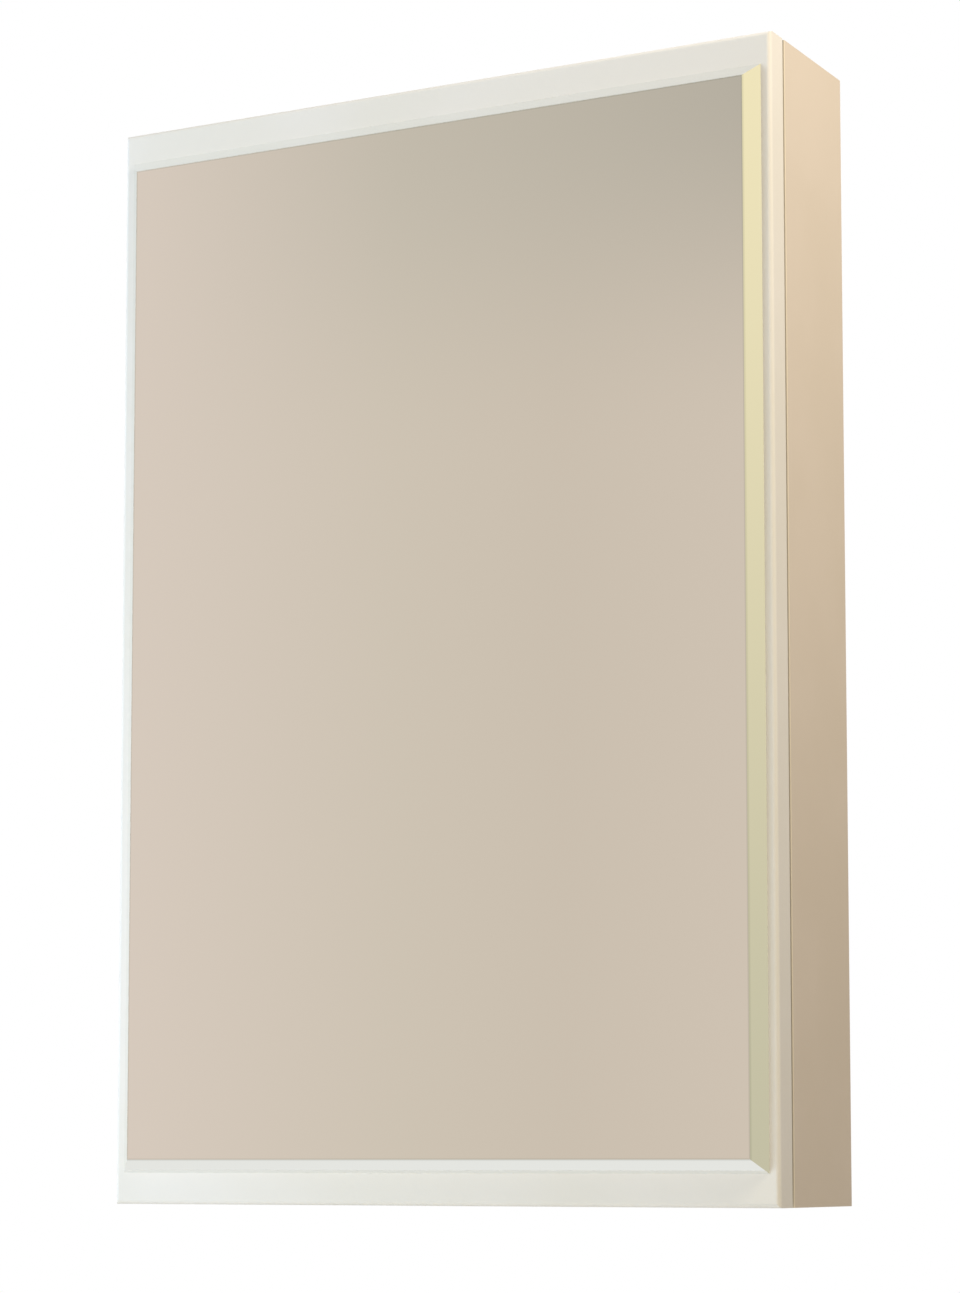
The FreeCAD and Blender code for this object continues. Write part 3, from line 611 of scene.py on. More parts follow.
@dataclass(frozen=True)
class Moulding(Finish):
    """Moulded plastic with a fine spark-eroded texture."""

    light: Colour
    dull: Colour
    roughness: float = 0.45
    roughness_swing: float = 0.2
    grain_scale: float = 2200.0
    flow_scale: float = 90.0
    relief: Span = (0.3, 0.04 * MM)

    def surface(self, bench: Bench) -> Inputs:
        """Even colour over a fine grain.

        Args:
            bench: Where the nodes go.

        Returns:
            The shader's inputs.
        """
        place = bench.place()
        grain = bench.noise(place, self.grain_scale, GRAIN_LAYERS)
        flow = bench.noise(place, self.flow_scale, CLOUD_LAYERS)
        return {
            "Base Color": bench.mix(flow.ease(*PATTERN_SPREAD), self.dull, self.light),
            "Roughness": self.roughness + grain.swing(self.roughness_swing),
            "Normal": bench.bump(grain, *self.relief),
        }


@dataclass(frozen=True)
class Mottled(Finish):
    """One stuff all through, such as cast zinc or pressed ferrite, with spots of a second tone."""

    ground: Colour
    spots: Colour
    scale: float
    layers: float
    spread: Span | None
    roughness: float
    roughness_rise: float
    relief: Span
    metallic: float = 0.0

    def surface(self, bench: Bench) -> Inputs:
        """Mottled tones over a skin of the same pattern.

        Args:
            bench: Where the nodes go.

        Returns:
            The shader's inputs.
        """
        mottle = bench.noise(bench.place(), self.scale, self.layers)
        tone = mottle.ease(*self.spread) if self.spread else mottle
        return {
            "Base Color": bench.mix(tone, self.ground, self.spots),
            "Metallic": self.metallic,
            "Roughness": self.roughness + self.roughness_rise * mottle,
            "Normal": bench.bump(mottle, *self.relief),
        }


@dataclass(frozen=True)
class SoftRubber(Mottled):
    """Clear soft plastic of bumpers and sleeves."""

    clearness: float = 0.75
    refraction: float = 1.45

    def surface(self, bench: Bench) -> Inputs:
        """Milky body that light goes through."""
        clear = {"Transmission Weight": self.clearness, "IOR": self.refraction}
        return super().surface(bench) | clear


@dataclass(frozen=True)
class Beech(Finish):
    """Turned beech with short dark flecks along its grain."""

    pale: Colour
    warm: Colour
    fleck: Colour
    grain: Triple = (60.0, 900.0, 900.0)
    flecks: Triple = (420.0, 3200.0, 3200.0)
    fleck_from: Span = (0.62, 0.72)
    fleck_share: float = 0.7
    roughness: float = 0.55
    grain_roughness: float = 0.2
    relief: Span = (0.3, 0.08 * MM)

    def surface(self, bench: Bench) -> Inputs:
        """Grain that runs along X, with flecks.

        Args:
            bench: Where the nodes go.

        Returns:
            The shader's inputs.
        """
        place = bench.place()
        grain = bench.noise(bench.stretch(place, self.grain), layers=CLOUD_LAYERS)
        fleck = bench.noise(bench.stretch(place, self.flecks)).ease(*self.fleck_from)
        wood = bench.mix(grain.ease(*PATTERN_SPREAD), self.pale, self.warm)
        return {
            "Base Color": bench.mix(fleck * self.fleck_share, wood, self.fleck),
            "Roughness": self.roughness + self.grain_roughness * grain,
            "Normal": bench.bump(grain, *self.relief),
        }


def board_front() -> float:
    """Place of the boards' front edges, behind the edge bands."""
    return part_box("side_panel_right")[0].y


def silvering() -> Silvering:
    """Mirror finish fitted to the pane's outline.

    Returns:
        The finish.
    """
    low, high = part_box("mirror_glass")
    return Silvering(
        "mirror", face=shade(243, 244, 242), rim=shade(206, 210, 205), middle=(low.z + high.z) / 2,
        half_width=high.x, half_height=(high.z - low.z) / 2,
    )


CHIPS = Chipboard(pale=shade(208, 181, 143), dark=shade(176, 146, 107), pore=shade(136, 106, 74))
WHITE_LACQUER = Lacquer("white_lacquer", light=shade(241, 239, 235), dull=shade(238, 236, 230))
CREAM_BOARD = Laminate("cream_board", light=shade(225, 214, 201), dull=shade(222, 211, 197), core=CHIPS)
RAIL_BOARD = Laminate("rail_board", light=shade(226, 216, 199), dull=shade(221, 210, 192), core=CHIPS)
EDGE_BAND = EdgeBanding(
    "edge_band", light=shade(238, 228, 209), glue=shade(178, 160, 132), glue_place=board_front(),
)
BACK_BOARD = BackBoard(
    "back_board", paint=shade(233, 224, 207), pale=shade(158, 118, 80), dark=shade(112, 78, 48),
)
MIRROR_BOARD = Mottled(
    "mirror_board", ground=shade(138, 104, 72), spots=shade(176, 142, 104), scale=1100.0,
    layers=FIBRE_LAYERS, spread=(0.25, 0.75), roughness=0.75, roughness_rise=0.15, relief=(0.35, 0.06 * MM),
)
MIRROR = silvering()
GLASS = FloatGlass("glass", face=shade(247, 252, 250), edge=shade(150, 205, 182))
NICKEL = Plating("nickel", bright=shade(214, 210, 202), dull=shade(188, 184, 176), roughness=0.24)
STEEL = Plating(
    "steel", bright=shade(204, 206, 208), dull=shade(168, 171, 174), roughness=0.36,
    lines=(2400.0, 2400.0, 240.0),
)
ZINC = Mottled(
    "zinc", ground=shade(142, 144, 147), spots=shade(190, 191, 193), scale=900.0, layers=FIBRE_LAYERS,
    spread=PATTERN_SPREAD, roughness=0.42, roughness_rise=0.25, relief=(0.3, 0.05 * MM), metallic=1.0,
)
WHITE_PLASTIC = Moulding("white_plastic", light=shade(239, 237, 231), dull=shade(233, 230, 222))
GREY_PLASTIC = Moulding(
    "grey_plastic", light=shade(168, 170, 172), dull=shade(158, 160, 163), roughness=0.5,
)
CLEAR_RUBBER = SoftRubber(
    "clear_rubber", ground=shade(232, 236, 238), spots=shade(214, 220, 223), scale=420.0,
    layers=CLOUD_LAYERS, spread=None, roughness=0.22, roughness_rise=0.2, relief=(0.15, 0.05 * MM),
)
BEECH = Beech("beech", pale=shade(222, 190, 150), warm=shade(204, 164, 120), fleck=shade(150, 106, 70))
MAGNET = Mottled(
    "magnet", ground=shade(52, 52, 55), spots=shade(108, 108, 112), scale=2600.0, layers=CLOUD_LAYERS,
    spread=(0.5, 0.8), roughness=0.4, roughness_rise=0.25, relief=(0.3, 0.03 * MM), metallic=0.35,
)


# Mesh work


def in_scene(name: str, data: bpy.types.ID) -> bpy.types.Object:
    """Make an object of a mesh, lamp or camera, and put it in the scene.

    Args:
        name: Name of the object.
        data: What it shows.

    Returns:
        The object.
    """
    made = bpy.data.objects.new(name, data)
    bpy.context.scene.collection.objects.link(made)
    return made


def flat_board(name: str, corners: Sequence[Vector | Triple]) -> bpy.types.Object:
    """Make a flat board.

    Args:
        name: Name of the board.
        corners: Its four corners, in order.

    Returns:
        The board.
    """
    mesh = bpy.data.meshes.new(name)
    mesh.from_pydata(corners, [], [(0, 1, 2, 3)])
    return in_scene(name, mesh)


def solids_of(node: str) -> Iterator[tuple[Vector, Vector]]:
    """Find the separate solids of a node.

    Args:
        node: Name of the node.

    Yields:
        The lowest and highest corner of each solid.
    """
    mesh = bmesh.new()
    mesh.from_mesh(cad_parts[node].data)
    bmesh.ops.remove_doubles(mesh, verts=mesh.verts, dist=WELD)
    mesh.verts.ensure_lookup_table()
    seen: set[int] = set()
    for first in mesh.verts:
        if first.index in seen:
            continue
        seen.add(first.index)
        group = [first]
        for vert in group:
            for edge in vert.link_edges:
                other = edge.other_vert(vert)
                if other.index not in seen:
                    seen.add(other.index)
                    group.append(other)
        spots = list(zip(*(vert.co for vert in group)))
        yield Vector([min(part) for part in spots]), Vector([max(part) for part in spots])
    mesh.free()


def turned(profile: Profile, segments: int = 32) -> Shape:
    """Turn an outline about the Z axis.

    Args:
        profile: Radius and height of each point, from the lower end of the axis to the upper one.
        segments: Faces round the axis.

    Returns:
        The closed mesh.
    """
    mesh = bmesh.new()
    rings = []
    for radius, height in profile:
        angles = [2 * math.pi * k / segments for k in range(segments)] if radius else [0.0]
        rings.append([mesh.verts.new((radius * math.cos(a), radius * math.sin(a), height)) for a in angles])
    for lower, upper in zip(rings, rings[1:]):
        for k in range(segments):
            corners = (lower[k % len(lower)], lower[(k + 1) % len(lower)])
            corners += (upper[(k + 1) % len(upper)], upper[k % len(upper)])
            mesh.faces.new(dict.fromkeys(corners))
    return mesh


def as_mesh(shape: Shape, name: str) -> bpy.types.Mesh:
    """Turn a worked shape into a mesh.

    Args:
        shape: The shape, which is used up.
        name: Name of the mesh.

    Returns:
        The mesh.
    """
    bmesh.ops.recalc_face_normals(shape, faces=shape.faces)
    mesh = bpy.data.meshes.new(name)
    shape.to_mesh(mesh)
    shape.free()
    return mesh


def carved(blank: Shape, cutter: Shape) -> bpy.types.Mesh:
    """Cut one shape out of another.

    Args:
        blank: The shape that stays.
        cutter: The shape that is taken away.

    Returns:
        The mesh that is left.
    """
    meshes = [as_mesh(blank, "blank"), as_mesh(cutter, "cutter")]
    body, tool = (in_scene(mesh.name, mesh) for mesh in meshes)
    cut = body.modifiers.new("cut", "BOOLEAN")
    cut.operation = "DIFFERENCE"
    cut.solver = "EXACT"
    cut.object = tool
    result = bpy.data.meshes.new_from_object(body.evaluated_get(bpy.context.evaluated_depsgraph_get()))
    for shape in (body, tool):
        bpy.data.objects.remove(shape)
    for mesh in meshes:
        bpy.data.meshes.remove(mesh)
    return result


def set_out(name: str, master: bpy.types.Mesh, places: Sequence[Matrix]) -> bpy.types.Object:
    """Join copies of one mesh into a piece.

    Args:
        name: Name of the piece.
        master: The mesh to copy, which is used up.
        places: Where each copy goes.

    Returns:
        The piece, smooth except at its creases.
    """
    joined = bmesh.new()
    for place in places:
        copy = master.copy()
        copy.transform(place)
        joined.from_mesh(copy)
        bpy.data.meshes.remove(copy)
    bpy.data.meshes.remove(master)
    mesh = as_mesh(joined, name)
    mesh.polygons.foreach_set("use_smooth", [True] * len(mesh.polygons))
    mesh.set_sharp_from_angle(angle=CREASE)
    return in_scene(name, mesh)


def seated(low: Vector, high: Vector, outward: Facing, height: float) -> Matrix:
    """Place a turned shape in the middle of a solid's box.

    Args:
        low: Lowest corner of the box.
        high: Highest corner of the box.
        outward: Where the shape's Z axis points.
        height: From the shape's origin up to its top, which lies in the box's outermost face.

    Returns:
        The placement.
    """
    axis, spot = outward.axis(), (low + high) / 2
    spot[axis] = outward.end(low, high) - height * outward.value[axis]
    turn = Vector(outward.value).to_track_quat("Z", "Y")
    return Matrix.Translation(spot) @ turn.to_matrix().to_4x4()


def arc(radius: float, height: float, start: float, steps: int = 5) -> list[Span]:
    """Outline of a dome of a height, from its foot at the start height to its crown on the axis."""
    turns = [math.pi / 2 * k / steps for k in range(steps)]
    return [(radius * math.cos(t), start + height * math.sin(t)) for t in turns] + [(0.0, start + height)]


# Parts of the cabinet


def hand_over(piece: bpy.types.Object, node: str, body: str, finish: Finish) -> bpy.types.Object:
    """Give a new piece its finish and body, and hide the node that it stands for.

    Args:
        piece: The piece that stands for the node.
        node: Name of the node.
        body: Name of the body that it rides on.
        finish: What it wears.

    Returns:
        The same piece.
    """
    piece.data.materials.append(finish.material())
    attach(piece, body)
    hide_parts(node)
    return piece


@dataclass(frozen=True)
class ScrewSet:
    """Equal screws that point the same way, each with a cross recess."""

    node: str
    body: str
    driven: Facing
    style: HeadStyle
    sides: int = 24
    head: float = 1.6 * MM
    head_wall: float = 0.3
    head_soft: float = 0.25 * MM
    sunk_rim: float = 0.12 * MM
    sunk_rim_slope: float = 0.3
    shank_radius: float = 1.75 * MM
    thread_pitch: float = 1.2 * MM
    thread_depth: float = 0.45 * MM
    thread_crest: float = 0.3
    tip_share: float = 0.4
    tip_turns: float = 1.5
    plain_turns: int = 2
    recess_reach: float = 0.66
    recess_taper: float = 0.6
    recess_width: float = 1.1 * MM
    recess_depth: float = 1.1 * MM

    def outward(self) -> Facing:
        """Direction that the heads face."""
        return Facing(tuple(-part for part in self.driven.value))

    def shank(self, length: float) -> list[Span]:
        """Outline of the threaded shank.

        Args:
            length: From the seat to the point.

        Returns:
            Radius and height of each point, from the tip up to the seat.
        """
        core, pitch = self.shank_radius - self.thread_depth, self.thread_pitch
        points = [(0.0, -length), (self.tip_share * core, pitch - length)]
        for k in range(int(length / pitch) - self.plain_turns):
            height = (k + self.tip_turns) * pitch - length
            points += [(core, height), (self.shank_radius, height + self.thread_crest * pitch)]
        return points

    def outline(self, radius: float, length: float) -> Profile:
        """Outline of the whole screw, with the seat at height 0.

        Args:
            radius: Radius of the head.
            length: From end to end.

        Returns:
            Radius and height of each point.
        """
        if self.style is HeadStyle.SUNK:
            sink = radius - self.shank_radius
            shank = [(wide, height) for wide, height in self.shank(length) if height < -sink]
            return shank + [
                (self.shank_radius, -sink), (radius, -self.sunk_rim),
                (radius - self.sunk_rim_slope * self.sunk_rim, 0.0), (0.0, 0.0),
            ]
        lower = self.shank(length - self.head) + [(self.shank_radius, 0.0), (radius, 0.0)]
        if self.style is HeadStyle.CHEESE:
            soft = self.head_soft
            return lower + [(radius, self.head - soft), (radius - soft, self.head), (0.0, self.head)]
        wall = self.head_wall * self.head
        return lower + arc(radius, self.head - wall, wall)

    def recess(self, radius: float, crown: float) -> Shape:
        """Cutter for the cross recess.

        Args:
            radius: Radius of the head.
            crown: Height of the head's top.

        Returns:
            The cutter: a cross that narrows downwards.
        """
        reach, half = radius * self.recess_reach, self.recess_width / 2
        arm = [Vector(corner) for corner in ((reach, -half), (reach, half), (half, half))]
        cross = [Matrix.Rotation(math.pi / 2 * k, 2) @ corner for k in range(4) for corner in arm]
        ends = ((self.recess_taper, crown - self.recess_depth), (1.0, crown + self.recess_depth))
        shape = bmesh.new()
        lower, upper = (
            [shape.verts.new((*(taper * corner), height)) for corner in cross] for taper, height in ends
        )
        for k in range(len(cross)):
            shape.faces.new((lower[k - 1], lower[k], upper[k], upper[k - 1]))
        shape.faces.new(lower)
        shape.faces.new(upper)
        return shape

    def build(self) -> bpy.types.Object:
        """Make the screws where the node's own lie.

        Returns:
            The piece that stands for the node.
        """
        outward = self.outward()
        axis = outward.axis()
        boxes = list(solids_of(self.node))
        low, high = boxes[0]
        radius = max(high[k] - low[k] for k in range(3) if k != axis) / 2
        length = high[axis] - low[axis]
        head = 0.0 if self.style is HeadStyle.SUNK else self.head
        places = [seated(low, high, outward, head) for low, high in boxes]
        master = carved(turned(self.outline(radius, length), self.sides), self.recess(radius, head))
        return hand_over(set_out(self.node + "_cross", master, places), self.node, self.body, STEEL)


Worn = dict[Finish, Sequence[str]]


@dataclass
class Assembly:
    """Part of the cabinet: its screws, what else it adds, and what its nodes wear."""

    screws: tuple[ScrewSet, ...] = ()

    def build(self) -> list[bpy.types.Object]:
        """Pieces that this part adds."""
        return [screws.build() for screws in self.screws]

    def wear(self) -> Worn:
        """Nodes that keep their own shape, by finish."""
        return {}

    def make(self) -> None:
        """Build the added pieces, dress the nodes and report both."""
        for piece in self.build():
            LOG.info("%s: made %s, %d faces", type(self).__name__, piece.name, len(piece.data.polygons))
        for finish, nodes in self.wear().items():
            for node in nodes:
                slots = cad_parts[node].data.materials
                slots.clear()
                slots.append(finish.material())
                LOG.info("%s: dressed %s in %s", type(self).__name__, node, finish.name)


@dataclass
class Carcass(Assembly):
    """Boards, bands and corner joints of the body."""

    cap_soft: float = 0.3 * MM
    cap_dimple_radius: float = 1.4 * MM
    cap_dimple_depth: float = 0.35 * MM
    cap_dimple_floor: float = 0.6

    def caps(self) -> bpy.types.Object:
        """Make the caps over the cams, with a soft rim and a dimple for lifting them.

        Returns:
            The piece.
        """
        boxes = list(solids_of("cam_caps"))
        low, high = boxes[0]
        radius, height = (high.x - low.x) / 2, high.z - low.z
        dimple, sunk = self.cap_dimple_radius, height - self.cap_dimple_depth
        outline = [
            (0.0, 0.0), (radius, 0.0), (radius, height - self.cap_soft), (radius - self.cap_soft, height),
            (dimple, height), (dimple * self.cap_dimple_floor, sunk), (0.0, sunk),
        ]
        middle = (CAD_BOX[0].z + CAD_BOX[1].z) / 2
        places = [
            seated(low, high, Facing.UP if low.z > middle else Facing.DOWN, height) for low, high in boxes
        ]
        piece = set_out("cam_caps_soft_rim", as_mesh(turned(outline), "cap"), places)
        return hand_over(piece, "cam_caps", "cabinet", WHITE_PLASTIC)

    def build(self) -> list[bpy.types.Object]:
        """Caps over the cams."""
        return [self.caps()]

    def wear(self) -> Worn:
        """Dress boards, bands and joints.

        Returns:
            Their nodes by finish.
        """
        return {
            CREAM_BOARD: ("side_panel_left", "side_panel_right", "top_panel", "bottom_panel"),
            EDGE_BAND: ("edge_band_left", "edge_band_right", "edge_band_top", "edge_band_bottom"),
            BACK_BOARD: ("back_panel",),
            RAIL_BOARD: ("hanging_rail", "lower_rail"),
            ZINC: ("cam_locks",),
            STEEL: ("cam_bolts",),
            BEECH: ("wood_dowels",),
        }


@dataclass
class Shelves(Assembly):
    """Glass shelves, with the pins and sleeves that carry them."""

    levels: tuple[str, ...] = ("upper", "lower")

    def wear(self) -> Worn:
        """Dress glass, pins and sleeves.

        Returns:
            Their nodes by finish.
        """
        return {
            GLASS: tuple("glass_shelf_" + level for level in self.levels),
            NICKEL: ("shelf_pins",),
            CLEAR_RUBBER: ("shelf_pin_sleeves",),
        }


@dataclass
class WallFixing(Assembly):
    """Keyhole plates behind the body, and their screws."""

    screws: tuple[ScrewSet, ...] = (
        ScrewSet("keyhole_plate_screws", "cabinet", Facing.FRONT, HeadStyle.SUNK),
    )
    sides: tuple[str, ...] = ("left", "right")

    def wear(self) -> Worn:
        """Nodes of the plates, by finish."""
        return {STEEL: tuple("keyhole_plate_" + side for side in self.sides)}


@dataclass
class HingePair(Assembly):
    """Two concealed hinges with their links, rivets and screws."""

    screws: tuple[ScrewSet, ...] = (
        ScrewSet("hinge_plate_screws", "cabinet", Facing.LEFT, HeadStyle.PAN),
        ScrewSet("hinge_adjust_screws", "cabinet", Facing.LEFT, HeadStyle.CHEESE, shank_radius=1.8 * MM),
        ScrewSet("hinge_cup_screws", "door", Facing.FRONT, HeadStyle.PAN),
    )
    levels: tuple[str, ...] = ("upper", "lower")
    plated: tuple[str, ...] = ("plate", "arm", "outer_links", "inner_link", "cup")

    def wear(self) -> Worn:
        """Dress hinges and rivets.

        Returns:
            Their nodes by finish.
        """
        return {
            NICKEL: tuple(f"hinge_{kind}_{level}" for kind in self.plated for level in self.levels),
            STEEL: ("hinge_arm_pins", "hinge_cup_pins"),
        }


@dataclass
class PushLatch(Assembly):
    """Push latch on the right side panel, and its strike on the door."""

    screws: tuple[ScrewSet, ...] = (
        ScrewSet("latch_screws", "cabinet", Facing.RIGHT, HeadStyle.PAN),
        ScrewSet("latch_strike_screws", "door", Facing.FRONT, HeadStyle.SUNK),
    )

    def wear(self) -> Worn:
        """Dress housing, plunger, magnet and strike.

        Returns:
            Their nodes by finish.
        """
        return {
            GREY_PLASTIC: ("latch_housing",),
            WHITE_PLASTIC: ("latch_plunger",),
            MAGNET: ("latch_magnet",),
            STEEL: ("latch_strike",),
        }


@dataclass
class MirrorDoor(Assembly):
    """Door panel with the raised mirror, its bevel strips and the soft stops on its back."""

    strips: tuple[str, ...] = ("top", "bottom", "left", "right")
    bumper_wall: float = 0.3
    bumper_steps: int = 6

    def bumpers(self) -> bpy.types.Object:
        """Make the domed stops.

        Returns:
            The piece.
        """
        boxes = list(solids_of("door_bumpers"))
        low, high = boxes[0]
        radius, height = (high.x - low.x) / 2, high.y - low.y
        wall = self.bumper_wall * height
        outline = [(0.0, 0.0), (radius, 0.0)] + arc(radius, height - wall, wall, self.bumper_steps)
        places = [seated(low, high, Facing.BACK, height) for low, high in boxes]
        piece = set_out("door_bumpers_domed", as_mesh(turned(outline), "bumper"), places)
        return hand_over(piece, "door_bumpers", "door", CLEAR_RUBBER)

    def build(self) -> list[bpy.types.Object]:
        """Soft stops."""
        return [self.bumpers()]

    def wear(self) -> Worn:
        """Dress door and mirror.

        Returns:
            Their nodes by finish.
        """
        return {
            WHITE_LACQUER: ("door_panel",),
            MIRROR_BOARD: ("mirror_backing",),
            MIRROR: ("mirror_glass", *("bevel_strip_" + strip for strip in self.strips)),
        }


# Studio and camera


@dataclass(frozen=True)
class Lamp:
    """Square soft lamp that the mirror doesn't show."""

    name: str
    place: Triple
    size: float
    watts: float
    colour: Triple

    def hang(self, aim: Vector) -> None:
        """Hang the lamp.

        Args:
            aim: Where it points.
        """
        light = bpy.data.lights.new(self.name, "AREA")
        light.shape = "SQUARE"
        light.size = self.size
        light.energy = self.watts
        light.color = self.colour
        lamp = in_scene(self.name, light)
        lamp.location = self.place
        lamp.rotation_euler = (aim - lamp.location).to_track_quat("-Z", "Y").to_euler()
        lamp.visible_camera = False
        lamp.visible_glossy = False


def even(red: int, green: int, blue: int) -> Stops:
    """Stops of a ramp that keeps one colour."""
    return ((0.0, shade(red, green, blue)), (1.0, shade(red, green, blue)))


@dataclass(frozen=True)
class Card:
    """Glowing board that only mirrors show, shaded from one colour to another."""

    name: str
    corner: Triple
    across: Triple
    up: Triple
    stops: Stops
    upper_stops: Stops
    rise: Span = (0.0, 1.0)

    def stand(self) -> None:
        """Set the card up, with one ramp along its foot and one along its head."""
        foot, across, up = Vector(self.corner), Vector(self.across), Vector(self.up)
        card = flat_board(self.name, [foot, foot + across, foot + across + up, foot + up])
        card.visible_camera = False
        card.visible_diffuse = False
        card.visible_transmission = False
        card.visible_shadow = False
        material, bench = blank_material(self.name)
        material.cycles.emission_sampling = "NONE"
        from_foot = bench.vectors("SUBTRACT", bench.place(), self.corner)
        along, above = (
            bench.vectors("DOT_PRODUCT", from_foot, tuple(side / side.length_squared), output="Value")
            for side in (across, up)
        )
        rows = [
            bench.node("ShaderNodeValToRGB", {"stops": stops}, {"Fac": along})
            for stops in (self.stops, self.upper_stops)
        ]
        glow = bench.mix(above.ease(*self.rise), *rows)
        bench.finish(bench.node("ShaderNodeEmission", inputs={"Color": glow}))
        card.data.materials.append(material)
        card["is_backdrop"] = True


@dataclass(frozen=True)
class MirroredRoom:
    """Plain closed room for the mirror to show, as a box of cards round the cabinet."""

    left: float = -5.0
    right: float = 4.0
    far: float = -4.13
    near: float = 0.03
    foot: float = -1.6
    height: float = 3.2
    beside: float = 0.251
    far_left: float = -7.0
    far_width: float = 12.0
    mat_stops: Stops = (
        (0.0, shade(214, 202, 188)), (0.62, shade(192, 181, 167)), (0.84, shade(238, 238, 235)),
        (1.0, shade(240, 240, 237)),
    )

    def cards(self) -> tuple[Card, ...]:
        """Lay out the room's walls and mat.

        Returns:
            The cards, each with its colours along foot and head.
        """
        tall, deep = (0.0, 0.0, self.height), (0.0, self.near - self.far, 0.0)
        return (
            Card(
                "far_wall", (self.far_left, self.far, self.foot), (self.far_width, 0.0, 0.0), tall,
                stops=(
                    (0.342, shade(225, 211, 199)), (0.394, shade(216, 204, 189)),
                    (0.425, shade(213, 200, 185)), (0.461, shade(217, 203, 188)),
                ),
                upper_stops=(
                    (0.342, shade(225, 211, 199)), (0.394, shade(204, 195, 181)),
                    (0.461, shade(190, 182, 169)),
                ),
                rise=(0.72, 0.956),
            ),
            Card(
                "side_wall", (self.right, self.far, self.foot), deep, tall,
                stops=((0.0, shade(217, 203, 188)), (0.55, shade(204, 199, 173))),
                upper_stops=((0.0, shade(217, 203, 188)), (0.55, shade(255, 242, 199))),
                rise=(0.21, 1.04),
            ),
            Card(
                "near_wall", (self.beside, self.near, self.foot),
                (self.right - self.beside, 0.0, 0.0), tall,
                stops=even(128, 108, 88), upper_stops=even(214, 196, 170),
            ),
            Card(
                "hinge_wall", (self.left, self.near, self.foot),
                (-self.beside - self.left, 0.0, 0.0), tall,
                stops=((0.85, shade(222, 216, 206)), (0.94, shade(254, 254, 250))),
                upper_stops=((0.85, shade(244, 241, 236)), (0.94, shade(255, 255, 252))),
            ),
            Card(
                "left_wall", (self.left, self.far, self.foot), deep, tall,
                stops=even(206, 196, 182), upper_stops=even(228, 220, 209),
            ),
            Card(
                "mat", (self.left, self.far, self.foot), deep, (self.right - self.left, 0.0, 0.0),
                stops=self.mat_stops, upper_stops=self.mat_stops,
            ),
        )


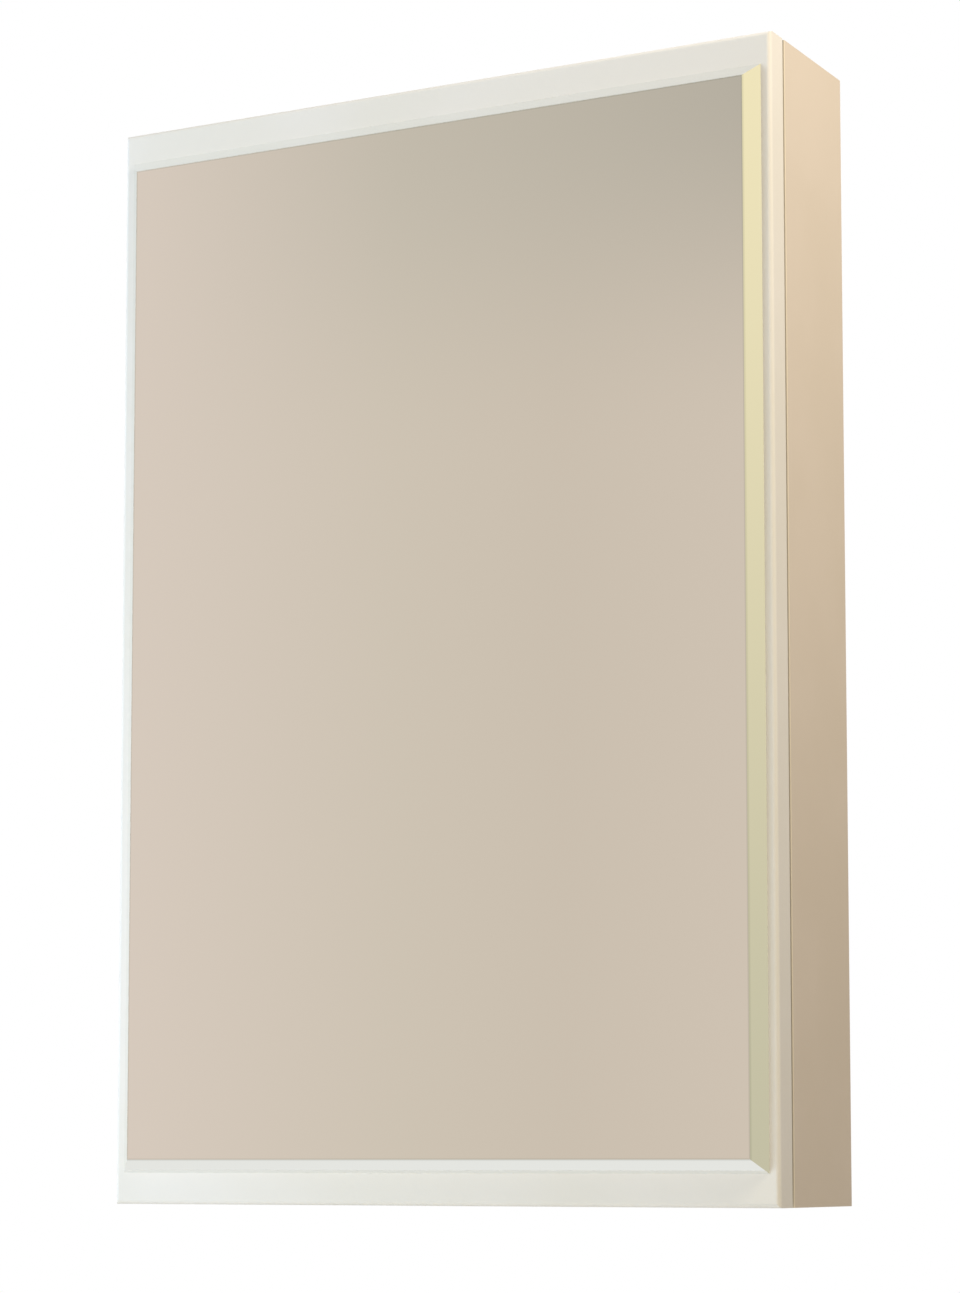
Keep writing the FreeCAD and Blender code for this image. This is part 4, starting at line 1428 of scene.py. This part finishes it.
@dataclass(frozen=True)
class Studio:
    """White room with a pale floor under the cabinet, soft lamps and a room for the mirror to show."""

    world_level: float = 0.1
    floor_drop: float = 0.9
    floor_half: float = 6.0
    floor_light: Colour = shade(231, 231, 229)
    floor_dull: Colour = shade(226, 226, 224)
    floor_specks: float = 60.0
    floor_glow: float = 0.68
    floor_clears: Span = (0.9, 2.6)
    lamps: tuple[Lamp, ...] = (
        Lamp("warm_key", (1.3, -0.35, 0.95), 0.8, 29.8, (1.0, 0.89, 0.73)),
        Lamp("cool_fill", (-1.6, -1.5, -0.4), 1.0, 41.8, (0.72, 0.85, 1.0)),
        Lamp("front_fill", (0.25, -1.7, -0.75), 0.8, 6.3, (1.0, 0.77, 0.36)),
        Lamp("wall_side", (-0.7, 1.6, 0.5), 1.0, 24.0, (1.0, 0.98, 0.95)),
    )
    room: MirroredRoom = MirroredRoom()

    def light_world(self) -> None:
        """White where it is seen, and plain light where it falls."""
        world = bpy.data.worlds.new("white_room")
        bpy.context.scene.world = world
        world.use_nodes = True
        bench = Bench(world.node_tree)
        light, white = (
            bench.node("ShaderNodeBackground", inputs={"Color": WHITE, "Strength": level})
            for level in (self.world_level, 1.0)
        )
        shown = bench.node("ShaderNodeMixShader", inputs={0: bench.backdrop_ray(), 1: light, 2: white})
        bench.finish(shown, "ShaderNodeOutputWorld")

    def lay_floor(self) -> None:
        """Pale floor that clears to the white room away from the cabinet, and shows from above only."""
        level = CAD_BOX[0].z - self.floor_drop
        half = self.floor_half
        corners = ((-half, -half), (half, -half), (half, half), (-half, half))
        floor = flat_board("floor", [(x, y, level) for x, y in corners])
        material, bench = blank_material("pale_floor")
        material.cycles.emission_sampling = "NONE"
        flat = bench.stretch(bench.place(), (1.0, 1.0, 0.0))
        clear = bench.vectors("LENGTH", flat, output="Value").ease(*self.floor_clears)
        speck = bench.noise(bench.place(), self.floor_specks)
        tone = bench.mix(speck, self.floor_dull, self.floor_light)
        paint = bench.node("ShaderNodeBsdfDiffuse", inputs={"Color": tone})
        white = bench.node("ShaderNodeEmission", inputs={"Color": WHITE})
        seen = bench.backdrop_ray() * (self.floor_glow + (1 - self.floor_glow) * clear)
        top = bench.node("ShaderNodeMixShader", inputs={0: seen, 1: paint, 2: white})
        below = bench.node("ShaderNodeNewGeometry", output="Backfacing")
        nothing = bench.node("ShaderNodeBsdfTransparent")
        bench.finish(bench.node("ShaderNodeMixShader", inputs={0: below, 1: top, 2: nothing}))
        floor.data.materials.append(material)
        floor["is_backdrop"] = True

    def set_up(self) -> None:
        """Set up world, floor, lamps and cards."""
        bpy.context.scene.view_settings.view_transform = "Standard"
        self.light_world()
        self.lay_floor()
        aim = (CAD_BOX[0] + CAD_BOX[1]) / 2
        for lamp in self.lamps:
            lamp.hang(aim)
        for card in self.room.cards():
            card.stand()


@dataclass(frozen=True)
class PhotoCamera:
    """Camera at the photograph's viewing angle."""

    lens: float = 95.843
    place: Triple = (1.10151, -2.12702, -0.67555)
    pitch: float = 5.643
    yaw: float = 27.945
    shift: float = 0.135

    def set_up(self) -> None:
        """Make the camera and hand it to the scene."""
        data = bpy.data.cameras.new("photo_camera")
        data.lens = self.lens
        data.shift_y = self.shift
        camera = in_scene("photo_camera", data)
        camera.location = self.place
        camera.rotation_euler = (math.radians(90.0 + self.pitch), 0.0, math.radians(self.yaw))
        bpy.context.scene.camera = camera


def write_sizes() -> None:
    """Work out the solids' box and the dressed cabinet's box, without keeping them."""
    boxes = {"cad": CAD_BOX, "visual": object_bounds()}
    {name: [list(corner) for corner in box] for name, box in boxes.items()}


def main() -> None:
    """Make the cabinet, then the studio and the camera."""
    logging.basicConfig(level=logging.INFO, format="%(message)s")
    for assembly in (Carcass(), Shelves(), WallFixing(), HingePair(), PushLatch(), MirrorDoor()):
        assembly.make()
    Studio().set_up()
    PhotoCamera().set_up()
    write_sizes()


if __name__ == "__main__":
    main()
